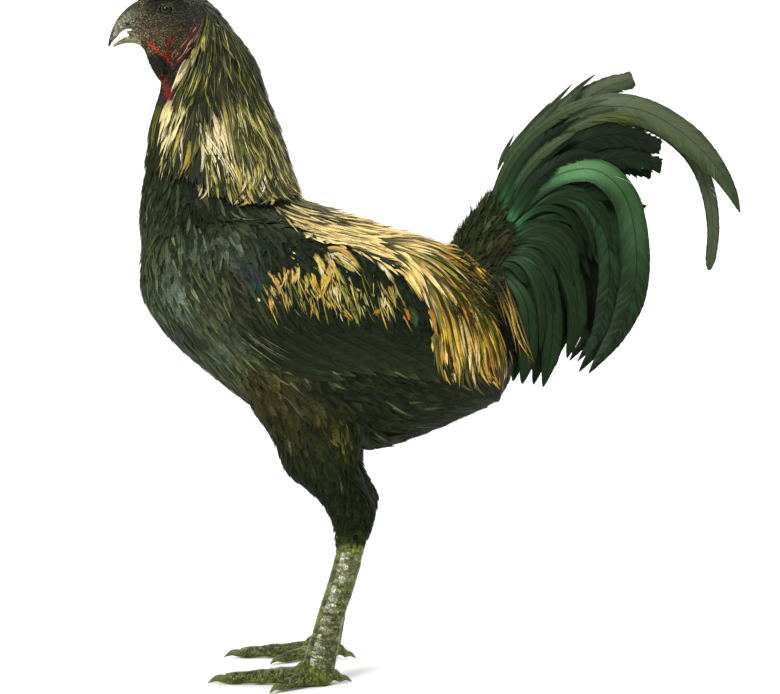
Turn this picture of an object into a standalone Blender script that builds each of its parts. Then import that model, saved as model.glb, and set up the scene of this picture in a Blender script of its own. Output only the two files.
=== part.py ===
"""Liege fighter cock, standing, life size.

Row frame: metres, +Z up, floor at z = 0, the bird faces -X and its left side faces -Y.
The side layout below is drawn in units of UNIT: u runs aft and v runs down. It is drawn as seen from
VIEW_DISTANCE on the bird's left, so at(u, v, y) puts a point of the drawing on the plane at that y.
"""

import math

import bmesh
import bpy
import numpy as np
from mathutils import Matrix

# ---- driving dimensions ----------------------------------------------------------------------
UNIT = 0.00105  # metres in one layout unit
VIEW_DISTANCE = 1.6  # metres
SIGHT_U, SIGHT_V = 390.0, 347.0  # where the line of sight meets the layout
ORIGIN_U, FLOOR_V = 424.0, 670.5  # the origin and the floor on the mid plane
GAP = 0.0003  # between pieces that touch
STANCE = 0.068  # from the mid plane to each foot
FOOT_BACK = {"left": 0.0, "right": 0.002}  # the right leg stands this much further back
EYE_RADIUS = 0.0066
BLADE_THICK = 0.0010  # a tail feather's solid

for old in list(bpy.data.objects):
    bpy.data.objects.remove(old)


def at(u, v, y=0.0):
    """A layout point on the plane at y, in metres."""
    k = (VIEW_DISTANCE + y) / VIEW_DISTANCE
    return np.array(
        [
            ((u - SIGHT_U) * k + SIGHT_U - ORIGIN_U) * UNIT,
            y,
            ((SIGHT_V - v) * k + FLOOR_V - SIGHT_V) * UNIT,
        ]
    )


# ---- materials -------------------------------------------------------------------------------
def material(name, colour, roughness, metallic=0.0):
    made = bpy.data.materials.new(name)
    made.use_nodes = True
    shader = made.node_tree.nodes["Principled BSDF"]
    shader.inputs["Base Color"].default_value = (*colour, 1.0)
    shader.inputs["Roughness"].default_value = roughness
    shader.inputs["Metallic"].default_value = metallic
    return made


BLACK = ("black_feather", (0.020, 0.024, 0.016), 0.55)
STRAW = ("straw_hackle", (0.42, 0.32, 0.12), 0.6)
WING = ("wing_feather", (0.035, 0.035, 0.025), 0.5)
GREEN = ("tail_feather", (0.020, 0.060, 0.030), 0.4)
SKIN = ("face_skin", (0.070, 0.055, 0.045), 0.6)
RED = ("red_skin", (0.30, 0.020, 0.015), 0.5)
HORN = ("horn", (0.16, 0.15, 0.10), 0.45)
SHANK = ("shank_scale", (0.10, 0.12, 0.045), 0.5)
EYE = ("eye", (0.015, 0.012, 0.010), 0.08)


# ---- shape tools -----------------------------------------------------------------------------
def smooth(values, count):
    """Catmull-Rom through the rows of values, count points evenly spaced in parameter."""
    v = np.array(values, float)
    v = np.vstack([2 * v[0] - v[1], v, 2 * v[-1] - v[-2]])
    t = np.linspace(0, len(v) - 3, count)
    i = np.minimum(t.astype(int), len(v) - 4)
    f = (t - i)[:, None]
    a, b, c, d = v[i], v[i + 1], v[i + 2], v[i + 3]
    return 0.5 * (
        2 * b + (c - a) * f + (2 * a - 5 * b + 4 * c - d) * f**2
        + (3 * b - 3 * c + d - a) * f**3
    )


def new_object(name, mesh, look):
    made = bpy.data.objects.new(name, mesh)
    bpy.context.scene.collection.objects.link(made)
    found = bpy.data.materials.get(look[0]) or material(*look)
    mesh.materials.append(found)
    return made


def skin_rings(rings, flat=False):
    """A closed mesh through rings of equal length, with flat ends. A flat blade's rings have 4 points, and
    its two faces are split along the same diagonals, so that it keeps its thickness where it twists."""
    bm = bmesh.new()
    loops = [[bm.verts.new(p) for p in ring] for ring in rings]
    n = len(loops[0])
    for a, b in zip(loops, loops[1:]):
        for j in range(n):
            k = (j + 1) % n
            if flat and j == 3:
                bm.faces.new((a[3], a[0], b[0]))
                bm.faces.new((a[3], b[0], b[3]))
            elif flat and j == 1:
                bm.faces.new((a[1], a[2], b[1]))
                bm.faces.new((a[2], b[2], b[1]))
            else:
                bm.faces.new((a[j], a[k], b[k], b[j]))
    bm.faces.new(loops[0][::-1])
    bm.faces.new(loops[-1])
    bmesh.ops.triangulate(bm, faces=bm.faces, quad_method="FIXED")
    bmesh.ops.recalc_face_normals(bm, faces=bm.faces)
    mesh = bpy.data.meshes.new("loft")
    bm.to_mesh(mesh)
    bm.free()
    return mesh


def section(centre, arm, across, power, around, shape=None):
    """One superellipse ring: arm is its half height as a vector, across its half width as a vector."""
    th = np.linspace(0, 2 * math.pi, around, endpoint=False)
    c, s = np.cos(th), np.sin(th)
    a = np.sign(c) * np.abs(c) ** (2 / power)
    b = np.sign(s) * np.abs(s) ** (2 / power)
    if shape is not None:
        a, b = shape(th, a, b)
    return centre + a[:, None] * arm + b[:, None] * across


def loft(stations, rings, around, power=2.2, side=1, shape=None, shift=0.0):
    """stations: (u, v) of the upper edge, (u, v) of the lower edge, y of the centre, half width, both in mm."""
    rows = []
    for (u1, v1), (u2, v2), y, w in stations:
        top, low = at(u1, v1, y / 1000), at(u2, v2, y / 1000)
        rows.append([*((top + low) / 2), *((top - low) / 2), w / 1000])
    made = []
    for i, row in enumerate(smooth(rows, rings)):
        centre, arm, w = row[:3].copy(), row[3:6], max(row[6], 0.0008)
        centre[1] *= side
        centre[0] += shift
        made.append(
            section(centre, arm, np.array([0, w * side, 0]), power, around, shape)
        )
    return skin_rings(made)


def tube(points, radii, around, rings, floor=None):
    """A tapered round limb through points, radii in metres; floor cuts it level."""
    rows = smooth(np.hstack([np.array(points), np.array(radii)[:, None]]), rings)
    made = []
    for i, row in enumerate(rows):
        p, r = row[:3], max(row[3], 0.0006)
        along = rows[min(i + 1, len(rows) - 1), :3] - rows[max(i - 1, 0), :3]
        along /= np.linalg.norm(along)
        up = np.array([0, 0, 1.0])
        if abs(along[2]) > 0.8:
            up = np.array([-1.0, 0, 0])
        across = np.cross(up, along)
        across /= np.linalg.norm(across)
        up = np.cross(along, across)
        ring = section(p, up * r, across * r, 2.0, around)
        if floor is not None:
            ring[:, 2] = np.maximum(ring[:, 2], floor)
        made.append(ring)
    return skin_rings(made)


def grown(mesh, by=GAP):
    """A hidden copy of a mesh, grown along its normals, to cut a neighbour with."""
    cutter = bpy.data.objects.new("cut_" + mesh.name, mesh.copy())
    bpy.context.scene.collection.objects.link(cutter)
    cutter.hide_render = True
    cutter.display_type = "WIRE"
    if by:
        swell = cutter.modifiers.new("swell", "DISPLACE")
        swell.mid_level = 0.0
        swell.strength = by
    return cutter


def boolean(target, cutter, operation="DIFFERENCE"):
    step = target.modifiers.new(operation.lower(), "BOOLEAN")
    step.operation = operation
    step.solver = "EXACT"
    step.object = cutter
    return target


def finish_round(obj):
    obj.data.shade_smooth()
    return obj


SIDES = {"left": 1, "right": -1}

# ---- trunk, neck and tail base: each station is upper edge, lower edge, centre y, half width -----
TRUNK = [
    ((168, 212), (143, 256), 0, 34),
    ((192, 196), (144, 298), 0, 60),
    ((232, 188), (172, 340), 0, 76),
    ((280, 190), (218, 380), 0, 83),
    ((322, 207), (272, 420), 0, 86),
    ((362, 219), (325, 444), 0, 86),
    ((402, 235), (376, 449), 0, 84),
    ((438, 252), (424, 434), 0, 79),
    ((468, 276), (468, 415), 0, 68),
    ((490, 304), (497, 400), 0, 50),
    ((505, 330), (511, 378), 0, 26),
]
NECK = [
    ((330, 240), (150, 290), 0, 66),
    ((312, 206), (141, 240), 0, 65),
    ((300, 194), (141, 205), 0, 62),
    ((295, 176), (145, 176), 0, 57),
    ((287, 152), (148, 150), 0, 52),
    ((280, 126), (149, 127), 0, 46),
    ((269, 102), (153, 107), 0, 40),
    ((264, 82), (161, 90), 0, 35),
    ((257, 62), (160, 76), 0, 31),
    ((246, 45), (163, 61), 0, 28.5),
    ((233, 29), (168, 45), 0, 26),
    ((220, 11), (176, 27), 0, 22),
    ((208, 0), (184, 12), 0, 15),
]
TAIL_BASE = [
    ((438, 262), (500, 352), 0, 58),
    ((452, 243), (520, 326), 0, 49),
    ((463, 225), (536, 296), 0, 40),
    ((478, 207), (546, 264), 0, 31),
    ((493, 190), (548, 234), 0, 22),
    ((508, 183), (540, 211), 0, 13),
]

trunk_mesh = loft(TRUNK, 14, 18, 2.25)
neck_mesh = loft(NECK, 14, 16, 2.15)
tail_base_mesh = loft(TAIL_BASE, 8, 14, 2.1)

trunk = finish_round(new_object("trunk", trunk_mesh, BLACK))
neck = finish_round(new_object("neck", neck_mesh, STRAW))
tail_base = finish_round(new_object("tail_base", tail_base_mesh, BLACK))
trunk_cut = grown(trunk_mesh, 2 * GAP)
neck_cut = grown(neck_mesh)
tail_cut = grown(tail_base_mesh)
boolean(neck, trunk_cut)
boolean(tail_base, trunk_cut)

# ---- saddle: the cape of long hackles over the rump --------------------------------------------
SADDLE = [
    ((340, 225), (346, 262), 0, 36),
    ((372, 230), (378, 285), 0, 56),
    ((404, 235), (412, 325), 0, 80),
    ((438, 247), (446, 366), 0, 92),
    ((466, 270), (474, 390), 0, 84),
    ((490, 298), (498, 394), 0, 68),
    ((507, 326), (511, 374), 0, 42),
]
SADDLE_LIFT = 0.002

# ---- wings, folded ---------------------------------------------------------------------------
WING_STATIONS = [
    ((190, 243), (194, 268), -58, 8),
    ((208, 229), (213, 300), -69, 13),
    ((238, 220), (240, 335), -75, 16.5),
    ((284, 223), (280, 357), -77, 18),
    ((334, 237), (325, 374), -77, 17.5),
    ((384, 257), (375, 379), -78, 15.5),
    ((424, 283), (420, 384), -77, 12.5),
    ((452, 312), (452, 380), -74, 9),
    ((468, 336), (470, 364), -70, 6),
]
wing_cuts = {}
for name, side in SIDES.items():
    mesh = loft(WING_STATIONS, 11, 12, 2.2, side)
    wing = finish_round(new_object("wing_" + name, mesh, WING))
    wing_cuts[name] = grown(mesh)
    boolean(wing, trunk_cut)
    boolean(wing, neck_cut)
    boolean(wing, tail_cut)

# ---- legs ------------------------------------------------------------------------------------
THIGH = [
    ((352, 340), (236, 374), -46, 30),
    ((362, 392), (253, 412), -49, 33),
    ((361, 438), (274, 442), -53, 31),
    ((359, 466), (285, 472), -57, 28),
    ((366, 487), (307, 490), -60, 25),
    ((376, 505), (324, 507), -63, 22),
    ((375, 522), (332, 524), -64.5, 19),
    ((368, 540), (334, 541), -65.5, 15.5),
    ((362, 553), (336, 553), -66, 12.5),
]
SHANK_LINE = [(351, 538), (348, 560), (339.5, 590), (329.6, 620), (324.5, 643), (320, 661), (318, 674)]
SHANK_DEEP = [13.5, 13.4, 13.1, 13.0, 14.2, 15.6, 14.6]  # half depth, layout units
SHANK_WIDE = 10.5  # half width, mm

# each toe: heading in degrees from straight ahead, outward positive; lengths in mm
TOES = {
    "middle": dict(turn=-2, length=90, root=9.4, tip=5.6, claw=17),
    "inner": dict(turn=-36, length=52, root=8.2, tip=5.2, claw=15),
    "outer": dict(turn=43, length=44, root=8.2, tip=5.0, claw=14),
    "hind": dict(turn=197, length=19, root=6.6, tip=4.6, claw=12),
}


def leg(name, side):
    back = FOOT_BACK[name]
    thigh_mesh = loft(THIGH, 12, 12, 2.1, side, shift=back)
    thigh = finish_round(new_object("thigh_" + name, thigh_mesh, BLACK))
    boolean(thigh, wing_cuts[name])
    boolean(thigh, trunk_cut)
    thigh_cut = grown(thigh_mesh)

    y = -STANCE * side
    line, deep = [], []
    for (u, v), d in zip(SHANK_LINE, SHANK_DEEP):
        p = at(u, v, -STANCE)
        line.append([p[0] + back, y, p[2]])
        deep.append(d * UNIT * 0.962)
    rows = smooth(np.hstack([np.array(line), np.array(deep)[:, None]]), 9)
    rings = []
    for i, row in enumerate(rows):
        along = rows[min(i + 1, 8), :3] - rows[max(i - 1, 0), :3]
        along /= np.linalg.norm(along)
        fore = np.cross([0, 1.0, 0], along)
        wide = SHANK_WIDE / 1000 * (1.0 + 0.18 * (i / 8) ** 4 + 0.12 * (1 - i / 8) ** 4)
        rings.append(section(row[:3], fore * row[3], np.array([0, wide, 0]), 2.2, 12))
    shank_mesh = skin_rings(rings)
    shank = finish_round(new_object("shank_" + name, shank_mesh, SHANK))
    boolean(shank, thigh_cut)
    shank_cut = grown(shank_mesh)

    ankle = rows[-1, :3].copy()
    ankle[2] = 0.0
    pad = bpy.data.meshes.new("pad")
    bm = bmesh.new()
    bmesh.ops.create_uvsphere(bm, u_segments=10, v_segments=7, radius=1.0)
    for vert in bm.verts:
        x, yy, z = vert.co
        vert.co = (
            ankle[0] - 0.0045 + x * 0.0210,
            ankle[1] + yy * 0.0150,
            max(0.0105 + z * 0.0165, 0.0),
        )
    bm.to_mesh(pad)
    bm.free()
    foot = finish_round(new_object("foot_" + name, pad, SHANK))
    for toe, d in TOES.items():
        turn = math.radians(d["turn"])
        ahead = np.array([-math.cos(turn), -math.sin(turn) * side, 0])
        size = d["length"] / 1000
        r0, r1 = d["root"] / 1000, d["tip"] / 1000
        if toe == "hind":
            shares, lifts = [0.0, 0.45, 1.0], [0.016, 0.012, 0.0048]
        else:
            shares, lifts = [0.0, 0.3, 0.62, 1.0], [0.0105, 0.0088, 0.0076, 0.0052]
        start = ankle + ahead * 0.004
        points = [start + ahead * size * s + np.array([0, 0, z]) for s, z in zip(shares, lifts)]
        radii = np.interp(shares, [0, 1], [r0, r1])
        toe_mesh = tube(points, radii, 8, 5, floor=0.0)
        piece = grown(toe_mesh, 0)
        boolean(foot, piece, "UNION")
        # claw: from inside the toe's end, curved down to just off the floor
        end, reach = points[-1] - ahead * 0.0012, d["claw"] / 1000 + 0.0012
        drop = end[2] - 0.0014
        claw = finish_round(
            new_object(
                f"claw_{toe}_{name}",
                tube(
                    [end, end + ahead * reach * 0.5 + np.array([0, 0, 0.0006]), end + ahead * reach - np.array([0, 0, drop])],
                    [r1 * 0.78, r1 * 0.60, 0.0007],
                    6,
                    4,
                    floor=0.0003,
                ),
                HORN,
            )
        )
        boolean(claw, grown(toe_mesh))
    boolean(foot, shank_cut)
    # spur bud on the inner back of the shank
    base = rows[6, :3]
    inward = np.array([0.45, side * 0.85, 0.0])
    inward /= np.linalg.norm(inward)
    spur_mesh = tube(
        [base + inward * 0.004, base + inward * 0.0135, base + inward * 0.0205 + np.array([0.0015, 0, 0.0015])],
        [0.0052, 0.0042, 0.0016],
        6,
        4,
    )
    spur = finish_round(new_object("spur_" + name, spur_mesh, HORN))
    boolean(spur, shank_cut)


for name, side in SIDES.items():
    leg(name, side)

saddle = finish_round(new_object("saddle", loft(SADDLE, 7, 16, 2.3), STRAW))
saddle.data.transform(Matrix.Translation((0, 0, SADDLE_LIFT)))
saddle_cut = grown(saddle.data)
boolean(saddle, trunk_cut)
boolean(saddle, tail_cut)
for name in SIDES:
    boolean(saddle, wing_cuts[name])

# ---- head ------------------------------------------------------------------------------------
HEAD = [
    ((222, 14), (206, 56), 0, 15),
    ((206, -1), (196, 60), 0, 19),
    ((192, -9), (185, 64), 0, 21.5),
    ((178, -13), (174, 67), 0, 22.5),
    ((165, -12), (163, 67), 0, 21.5),
    ((153, -7), (153, 60), 0, 18.5),
    ((144, 0), (145, 51), 0, 14.5),
    ((137, 5), (138, 43), 0, 11),
    ((131, 10), (133, 37), 0, 8),
]


def face(th, a, b):
    """Fuller at the brow, narrower at the crown and the throat."""
    k = 1.0 - 0.20 * np.clip(a, 0, 1) ** 2 - 0.42 * np.clip(-a, 0, 1) ** 2
    return a, b * k


# the loose skin of the throat, from the chin down to the feathers
THROAT = [
    ((192, 52), (164, 66), 0, 9),
    ((193, 66), (161.5, 78), 0, 11),
    ((196, 82), (160, 91), 0, 13),
    ((202, 96), (156, 104), 0, 16),
    ((208, 108), (153, 116), 0, 18),
]
head_mesh = loft(HEAD, 10, 14, 2.15, shape=face)
throat_mesh = loft(THROAT, 6, 12, 2.1)
head = finish_round(new_object("head", head_mesh, SKIN))
boolean(head, grown(throat_mesh, 0), "UNION")
boolean(head, neck_cut)
head_cut = grown(head_mesh)
throat_cut = grown(throat_mesh)

UPPER_BEAK = [
    ((140, 1), (141, 29), 0, 11.0),
    ((132, 5.5), (134, 29), 0, 9.4),
    ((125, 11), (127, 29), 0, 7.4),
    ((118, 19), (121, 32), 0, 5.4),
    ((113, 28), (117, 37), 0, 3.8),
    ((109.5, 38), (113, 41), 0, 2.2),
    ((108, 46), (109.5, 46.5), 0, 0.9),
]
LOWER_BEAK = [
    ((142, 32.5), (142, 46.5), 0, 8.8),
    ((134, 34.6), (135, 43.6), 0, 7.4),
    ((126, 37.2), (127, 43.2), 0, 5.6),
    ((119, 40.6), (120, 44.6), 0, 3.6),
    ((113, 45.2), (113.4, 47.0), 0, 1.4),
]
upper = finish_round(new_object("upper_beak", loft(UPPER_BEAK, 8, 10, 2.0), HORN))
lower = finish_round(new_object("lower_beak", loft(LOWER_BEAK, 6, 8, 2.0), HORN))
boolean(upper, head_cut)
boolean(lower, head_cut)

COMB = [
    ((137, -4), (140, 6), 0, 5.0),
    ((143, -13), (147, 2), 0, 8.0),
    ((152, -19), (156, -4), 0, 9.5),
    ((162, -22), (164, -8), 0, 9.5),
    ((172, -21), (173, -9), 0, 7.0),
    ((179, -17), (179, -11), 0, 3.0),
]


def three_ridges(th, a, b):
    """A pea comb's section: a tall middle ridge and a low one on each side."""
    ridge = 0.30 * np.cos(b * 3 * math.pi) * (a > 0)
    return a + ridge * (1 - 0.25 * np.abs(b)), b


comb = finish_round(new_object("comb", loft(COMB, 6, 14, 2.3, shape=three_ridges), RED))
boolean(comb, head_cut)
boolean(comb, neck_cut)
boolean(comb, grown(upper.data))

for name, side in SIDES.items():
    eye_mesh = bpy.data.meshes.new("eye")
    bm = bmesh.new()
    bmesh.ops.create_uvsphere(bm, u_segments=10, v_segments=7, radius=EYE_RADIUS)
    for vert in bm.verts:
        vert.co = vert.co + type(vert.co)(at(166.3, 10.2, -0.0152) * np.array([1, side, 1]))
    bm.to_mesh(eye_mesh)
    bm.free()
    finish_round(new_object("eye_" + name, eye_mesh, EYE))
    boolean(head, grown(eye_mesh))

WATTLE = [
    ((152, 42), (144, 49), -8.0, 3.4),
    ((158, 48), (148.5, 62), -8.6, 5.2),
    ((165, 56), (153.5, 72), -9.0, 5.4),
    ((169, 66), (159.5, 81), -9.0, 3.6),
]
LOBE = [
    ((201, 24), (193, 27), -23.5, 3.0),
    ((200, 36), (188, 38), -24.5, 4.6),
    ((194, 48), (180, 49), -24.0, 5.0),
    ((186, 60), (173, 61), -22.5, 4.4),
    ((180, 69), (171, 70), -21.0, 2.6),
]
for name, side in SIDES.items():
    for label, stations in (("wattle", WATTLE), ("earlobe", LOBE)):
        piece = finish_round(
            new_object(f"{label}_{name}", loft(stations, 6, 8, 2.0, side), RED)
        )
        boolean(piece, head_cut)
        boolean(piece, throat_cut)
        boolean(piece, neck_cut)

# ---- tail feathers: shaft through (u, v, y mm), half width of the vane in mm, bluntness of the end --
PLUMES = {
    "rectrix_1": ([(496, 238, 3), (508, 194, 3.5), (532, 152, 4), (568, 113, 4.5), (602, 89, 5), (633, 78, 5)], 13.5, 0.8),
    "rectrix_2": ([(492, 242, 5), (501, 200, 6.5), (520, 161, 8), (549, 123, 9), (583, 86, 9)], 9.5, 0.0),
    "rectrix_3": ([(489, 244, 7), (498, 208, 9.5), (512, 169, 12.5), (533, 134, 13.5), (558, 103, 13.5)], 9.0, 0.0),
    "rectrix_4": ([(500, 246, 9), (526, 192, 18), (562, 152, 23), (612, 134, 26), (661, 145, 28)], 15.0, 0.8),
    "rectrix_5": ([(502, 250, 12), (534, 206, 22), (574, 174, 27), (620, 157, 30), (662, 165, 32)], 14.0, 0.7),
    "rectrix_6": ([(503, 254, 15), (535, 218, 26), (574, 196, 31), (614, 188, 34.5), (643, 210, 36)], 13.0, 0.5),
    "sickle_main": (
        [(494, 240, 8), (500, 196, 13), (521, 155, 17), (553, 127, 19), (588, 111, 21), (620, 106, 22), (652, 114, 22.5), (684, 134, 22.5), (711, 160, 22), (730, 188, 21), (740, 212, 20)],
        16.0, 0.0,
    ),
    "sickle_drooped": (
        [(498, 240, 8), (507, 197, 13), (529, 162, 17), (562, 137, 19), (598, 122, 21), (632, 119, 22), (664, 131, 22.5), (692, 156, 22.5), (707, 188, 22), (713, 228, 21), (709, 270, 20)],
        8.5, 0.8,
    ),
    "sickle_inner": (
        [(502, 250, 19), (532, 209, 29.5), (562, 193, 33), (591, 204, 36), (607, 240, 38), (609, 285, 38.5), (599, 330, 38), (578, 361, 36)],
        11.0, 0.0,
    ),
    "sickle_low": (
        [(502, 238, 21), (528, 198, 33), (560, 174, 37), (596, 170, 40.5), (624, 194, 43), (635, 235, 44), (635, 282, 44), (620, 328, 43), (589, 373, 41)],
        14.5, 0.0,
    ),
    "hanger_a": ([(498, 252, 24), (532, 238, 37.5), (558, 247, 43.5), (574, 280, 48), (577, 320, 49), (567, 358, 48)], 10.0, 0.0),
    "hanger_b": ([(494, 262, 28), (522, 255, 43), (542, 272, 49.5), (552, 308, 53.5), (551, 350, 53.5), (543, 387, 52)], 10.0, 0.0),
    "hanger_c": ([(492, 270, 36), (511, 280, 49), (526, 305, 56.5), (529, 345, 58.5), (522, 384, 57)], 9.0, 0.0),
}


def vane_width(s, blunt):
    """Half width of a plume along its shaft, as a share of the widest; blunt keeps the end broad."""
    rise = 0.34 + 0.66 * np.clip(s / 0.32, 0, 1) ** 0.8
    fall = np.clip((1.0 - s) / 0.30, 0, 1) ** 0.72
    end = 0.10 + 0.55 * blunt
    return rise * (fall * (1 - end) + end)


def plume(name, points, width, blunt, side, rings=9):
    shaft = smooth([at(u, v, -y / 1000) * np.array([1, side, 1]) for u, v, y in points], rings)
    made = []
    for i, p in enumerate(shaft):
        along = shaft[min(i + 1, rings - 1)] - shaft[max(i - 1, 0)]
        along /= np.linalg.norm(along)
        face_y = np.array([0, 1.0, 0]) - along[1] * along
        face_y /= np.linalg.norm(face_y)
        across = np.cross(along, face_y) * width / 1000 * vane_width(i / (rings - 1), blunt)
        thick = face_y * BLADE_THICK / 2
        made.append([p + across + thick, p + across - thick, p - across - thick, p - across + thick])
    return new_object(name, skin_rings(made, flat=True), GREEN)


for name, (points, width, blunt) in PLUMES.items():
    if name == "sickle_main":
        made = [plume("sickle_left", points, width, blunt, 1)]
    elif name == "sickle_drooped":
        made = [plume("sickle_right", [(u, v, -y) for u, v, y in points], width, blunt, 1)]
    else:
        made = [plume(f"{name}_{side_name}", points, width, blunt, side) for side_name, side in SIDES.items()]
    for blade in made:
        boolean(blade, tail_cut)
        boolean(blade, trunk_cut)
        boolean(blade, saddle_cut)
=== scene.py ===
"""The looks of the standing gamecock: one skin, its coat of feathers, the tail, beak, eyes and legs, and the
camera and light. Metres, +Z up, the bird faces -X and its left side faces -Y.

The side layout is the one that the solids use: u runs aft and v runs down, in units of UNIT, as seen
from VIEW_DISTANCE on the bird's left.
"""

import math

import bmesh
import bpy
import numpy as np
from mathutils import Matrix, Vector, noise
from mathutils.bvhtree import BVHTree


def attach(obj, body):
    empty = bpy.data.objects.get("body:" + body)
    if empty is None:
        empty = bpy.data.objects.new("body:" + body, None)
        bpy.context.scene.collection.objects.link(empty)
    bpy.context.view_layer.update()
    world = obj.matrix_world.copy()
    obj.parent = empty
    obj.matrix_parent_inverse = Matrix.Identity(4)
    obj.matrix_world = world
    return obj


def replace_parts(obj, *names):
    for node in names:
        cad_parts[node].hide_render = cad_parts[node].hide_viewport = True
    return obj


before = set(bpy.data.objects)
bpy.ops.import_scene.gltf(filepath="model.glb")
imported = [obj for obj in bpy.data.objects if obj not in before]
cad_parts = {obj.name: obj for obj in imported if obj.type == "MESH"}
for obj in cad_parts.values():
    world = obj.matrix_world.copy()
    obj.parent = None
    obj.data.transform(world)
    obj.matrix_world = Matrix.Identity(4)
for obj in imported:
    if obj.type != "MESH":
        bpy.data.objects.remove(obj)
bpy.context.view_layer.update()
NODES = set(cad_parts)

# ---- the layout, as in the solids --------------------------------------------------------------
UNIT = 0.00105
VIEW_DISTANCE = 1.6
SIGHT_U, SIGHT_V = 390.0, 347.0
ORIGIN_U, FLOOR_V = 424.0, 670.5
STANCE = 0.068
FOOT_BACK = {"left": 0.0, "right": 0.002}
SIDES = {"left": 1, "right": -1}
EYE_RADIUS = 0.0066


def at(u, v, y=0.0):
    k = (VIEW_DISTANCE + y) / VIEW_DISTANCE
    return np.array(
        [
            ((u - SIGHT_U) * k + SIGHT_U - ORIGIN_U) * UNIT,
            y,
            ((SIGHT_V - v) * k + FLOOR_V - SIGHT_V) * UNIT,
        ]
    )


def layout_of(p):
    """The layout's u, v of world points, the right side read as the left."""
    k = (VIEW_DISTANCE - np.abs(p[..., 1])) / VIEW_DISTANCE
    u = (p[..., 0] / UNIT + ORIGIN_U - SIGHT_U) / k + SIGHT_U
    v = SIGHT_V - (p[..., 2] / UNIT - FLOOR_V + SIGHT_V) / k
    return u, v


def smoothstep(a, b, x):
    t = np.clip((x - a) / (b - a), 0, 1)
    return t * t * (3 - 2 * t)


def smooth(values, count):
    v = np.array(values, float)
    v = np.vstack([2 * v[0] - v[1], v, 2 * v[-1] - v[-2]])
    t = np.linspace(0, len(v) - 3, count)
    i = np.minimum(t.astype(int), len(v) - 4)
    f = (t - i)[:, None]
    a, b, c, d = v[i], v[i + 1], v[i + 2], v[i + 3]
    return 0.5 * (
        2 * b + (c - a) * f + (2 * a - 5 * b + 4 * c - d) * f**2
        + (3 * b - 3 * c + d - a) * f**3
    )


def unit(a):
    return a / np.maximum(np.linalg.norm(a, axis=-1, keepdims=True), 1e-12)


# ---- mesh helpers ------------------------------------------------------------------------------
def quick_mesh(name, verts, quads):
    """A mesh of quads from arrays."""
    me = bpy.data.meshes.new(name)
    me.vertices.add(len(verts))
    me.vertices.foreach_set("co", np.ascontiguousarray(verts, np.float32).ravel())
    me.loops.add(quads.size)
    me.loops.foreach_set("vertex_index", np.ascontiguousarray(quads, np.int32).ravel())
    me.polygons.add(len(quads))
    me.polygons.foreach_set("loop_start", np.arange(0, quads.size, 4, dtype=np.int32))
    me.update(calc_edges=True)
    me.shade_smooth()
    return me


def link(name, me, material=None, ride=True):
    ob = bpy.data.objects.new(name, me)
    bpy.context.scene.collection.objects.link(ob)
    if material is not None:
        me.materials.clear()
        me.materials.append(material)
    if ride:
        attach(ob, "root")
    return ob


def point_colours(me, name, colours):
    at_ = me.attributes.new(name, "FLOAT_COLOR", "POINT")
    rgba = np.ones((len(colours), 4), np.float32)
    rgba[:, :3] = colours
    at_.data.foreach_set("color", rgba.ravel())


def point_values(me, name, values):
    at_ = me.attributes.new(name, "FLOAT", "POINT")
    at_.data.foreach_set("value", np.ascontiguousarray(values, np.float32).ravel())


def loop_uv(me, name, per_point):
    """A UV map from one place per vertex."""
    layer = me.uv_layers.new(name=name)
    vi = np.empty(len(me.loops), np.int32)
    me.loops.foreach_get("vertex_index", vi)
    layer.uv.foreach_set(
        "vector", np.ascontiguousarray(per_point[vi], np.float32).ravel()
    )


def ring_mesh(rings):
    """Vertices and faces of a closed body through rings, with capped ends."""
    rings = np.asarray(rings)
    m, n, _ = rings.shape
    faces = []
    for i in range(m - 1):
        for j in range(n):
            k = (j + 1) % n
            faces.append((i * n + j, i * n + k, (i + 1) * n + k, (i + 1) * n + j))
    faces.append(tuple(range(n))[::-1])
    faces.append(tuple((m - 1) * n + j for j in range(n)))
    return rings.reshape(-1, 3), faces


def section(centre, arm, across, power, around, shape=None):
    th = np.linspace(0, 2 * math.pi, around, endpoint=False)
    c, s = np.cos(th), np.sin(th)
    a = np.sign(c) * np.abs(c) ** (2 / power)
    b = np.sign(s) * np.abs(s) ** (2 / power)
    if shape is not None:
        a, b = shape(th, a, b)
    return centre + a[:, None] * arm + b[:, None] * across


def loft(stations, rings, around, power=2.2, side=1, shape=None, shift=0.0, inset=0.0, lift=0.0):
    """As the solids' loft. inset, in metres, draws the surface in by the coat's depth."""
    rows = []
    for (u1, v1), (u2, v2), y, w in stations:
        top, low = at(u1, v1, y / 1000), at(u2, v2, y / 1000)
        rows.append([*((top + low) / 2), *((top - low) / 2), w / 1000])
    made = []
    for row in smooth(rows, rings):
        centre, arm, w = row[:3].copy(), row[3:6], max(row[6], 0.0008)
        half = np.linalg.norm(arm)
        arm = arm * max(half - inset, 0.3 * half) / half
        w = max(w - inset, 0.3 * w)
        centre[1] *= side
        centre[0] += shift
        centre[2] += lift
        made.append(section(centre, arm, np.array([0, w * side, 0]), power, around, shape))
    return ring_mesh(made)


def tube_rings(points, radii, around, rings, floor=None, flat=1.0):
    rows = smooth(np.hstack([np.array(points), np.array(radii)[:, None]]), rings)
    made = []
    for i, row in enumerate(rows):
        p, r = row[:3], max(row[3], 0.0003)
        along = rows[min(i + 1, len(rows) - 1), :3] - rows[max(i - 1, 0), :3]
        along /= np.linalg.norm(along)
        up = np.array([0, 0, 1.0])
        if abs(along[2]) > 0.8:
            up = np.array([-1.0, 0, 0])
        across = np.cross(up, along)
        across /= np.linalg.norm(across)
        up = np.cross(along, across)
        ring = section(p, up * r * flat, across * r, 2.0, around)
        if floor is not None:
            ring[:, 2] = np.maximum(ring[:, 2], floor)
        made.append(ring)
    return made


def tube(points, radii, around, rings, floor=None, flat=1.0):
    return ring_mesh(tube_rings(points, radii, around, rings, floor, flat))


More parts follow.
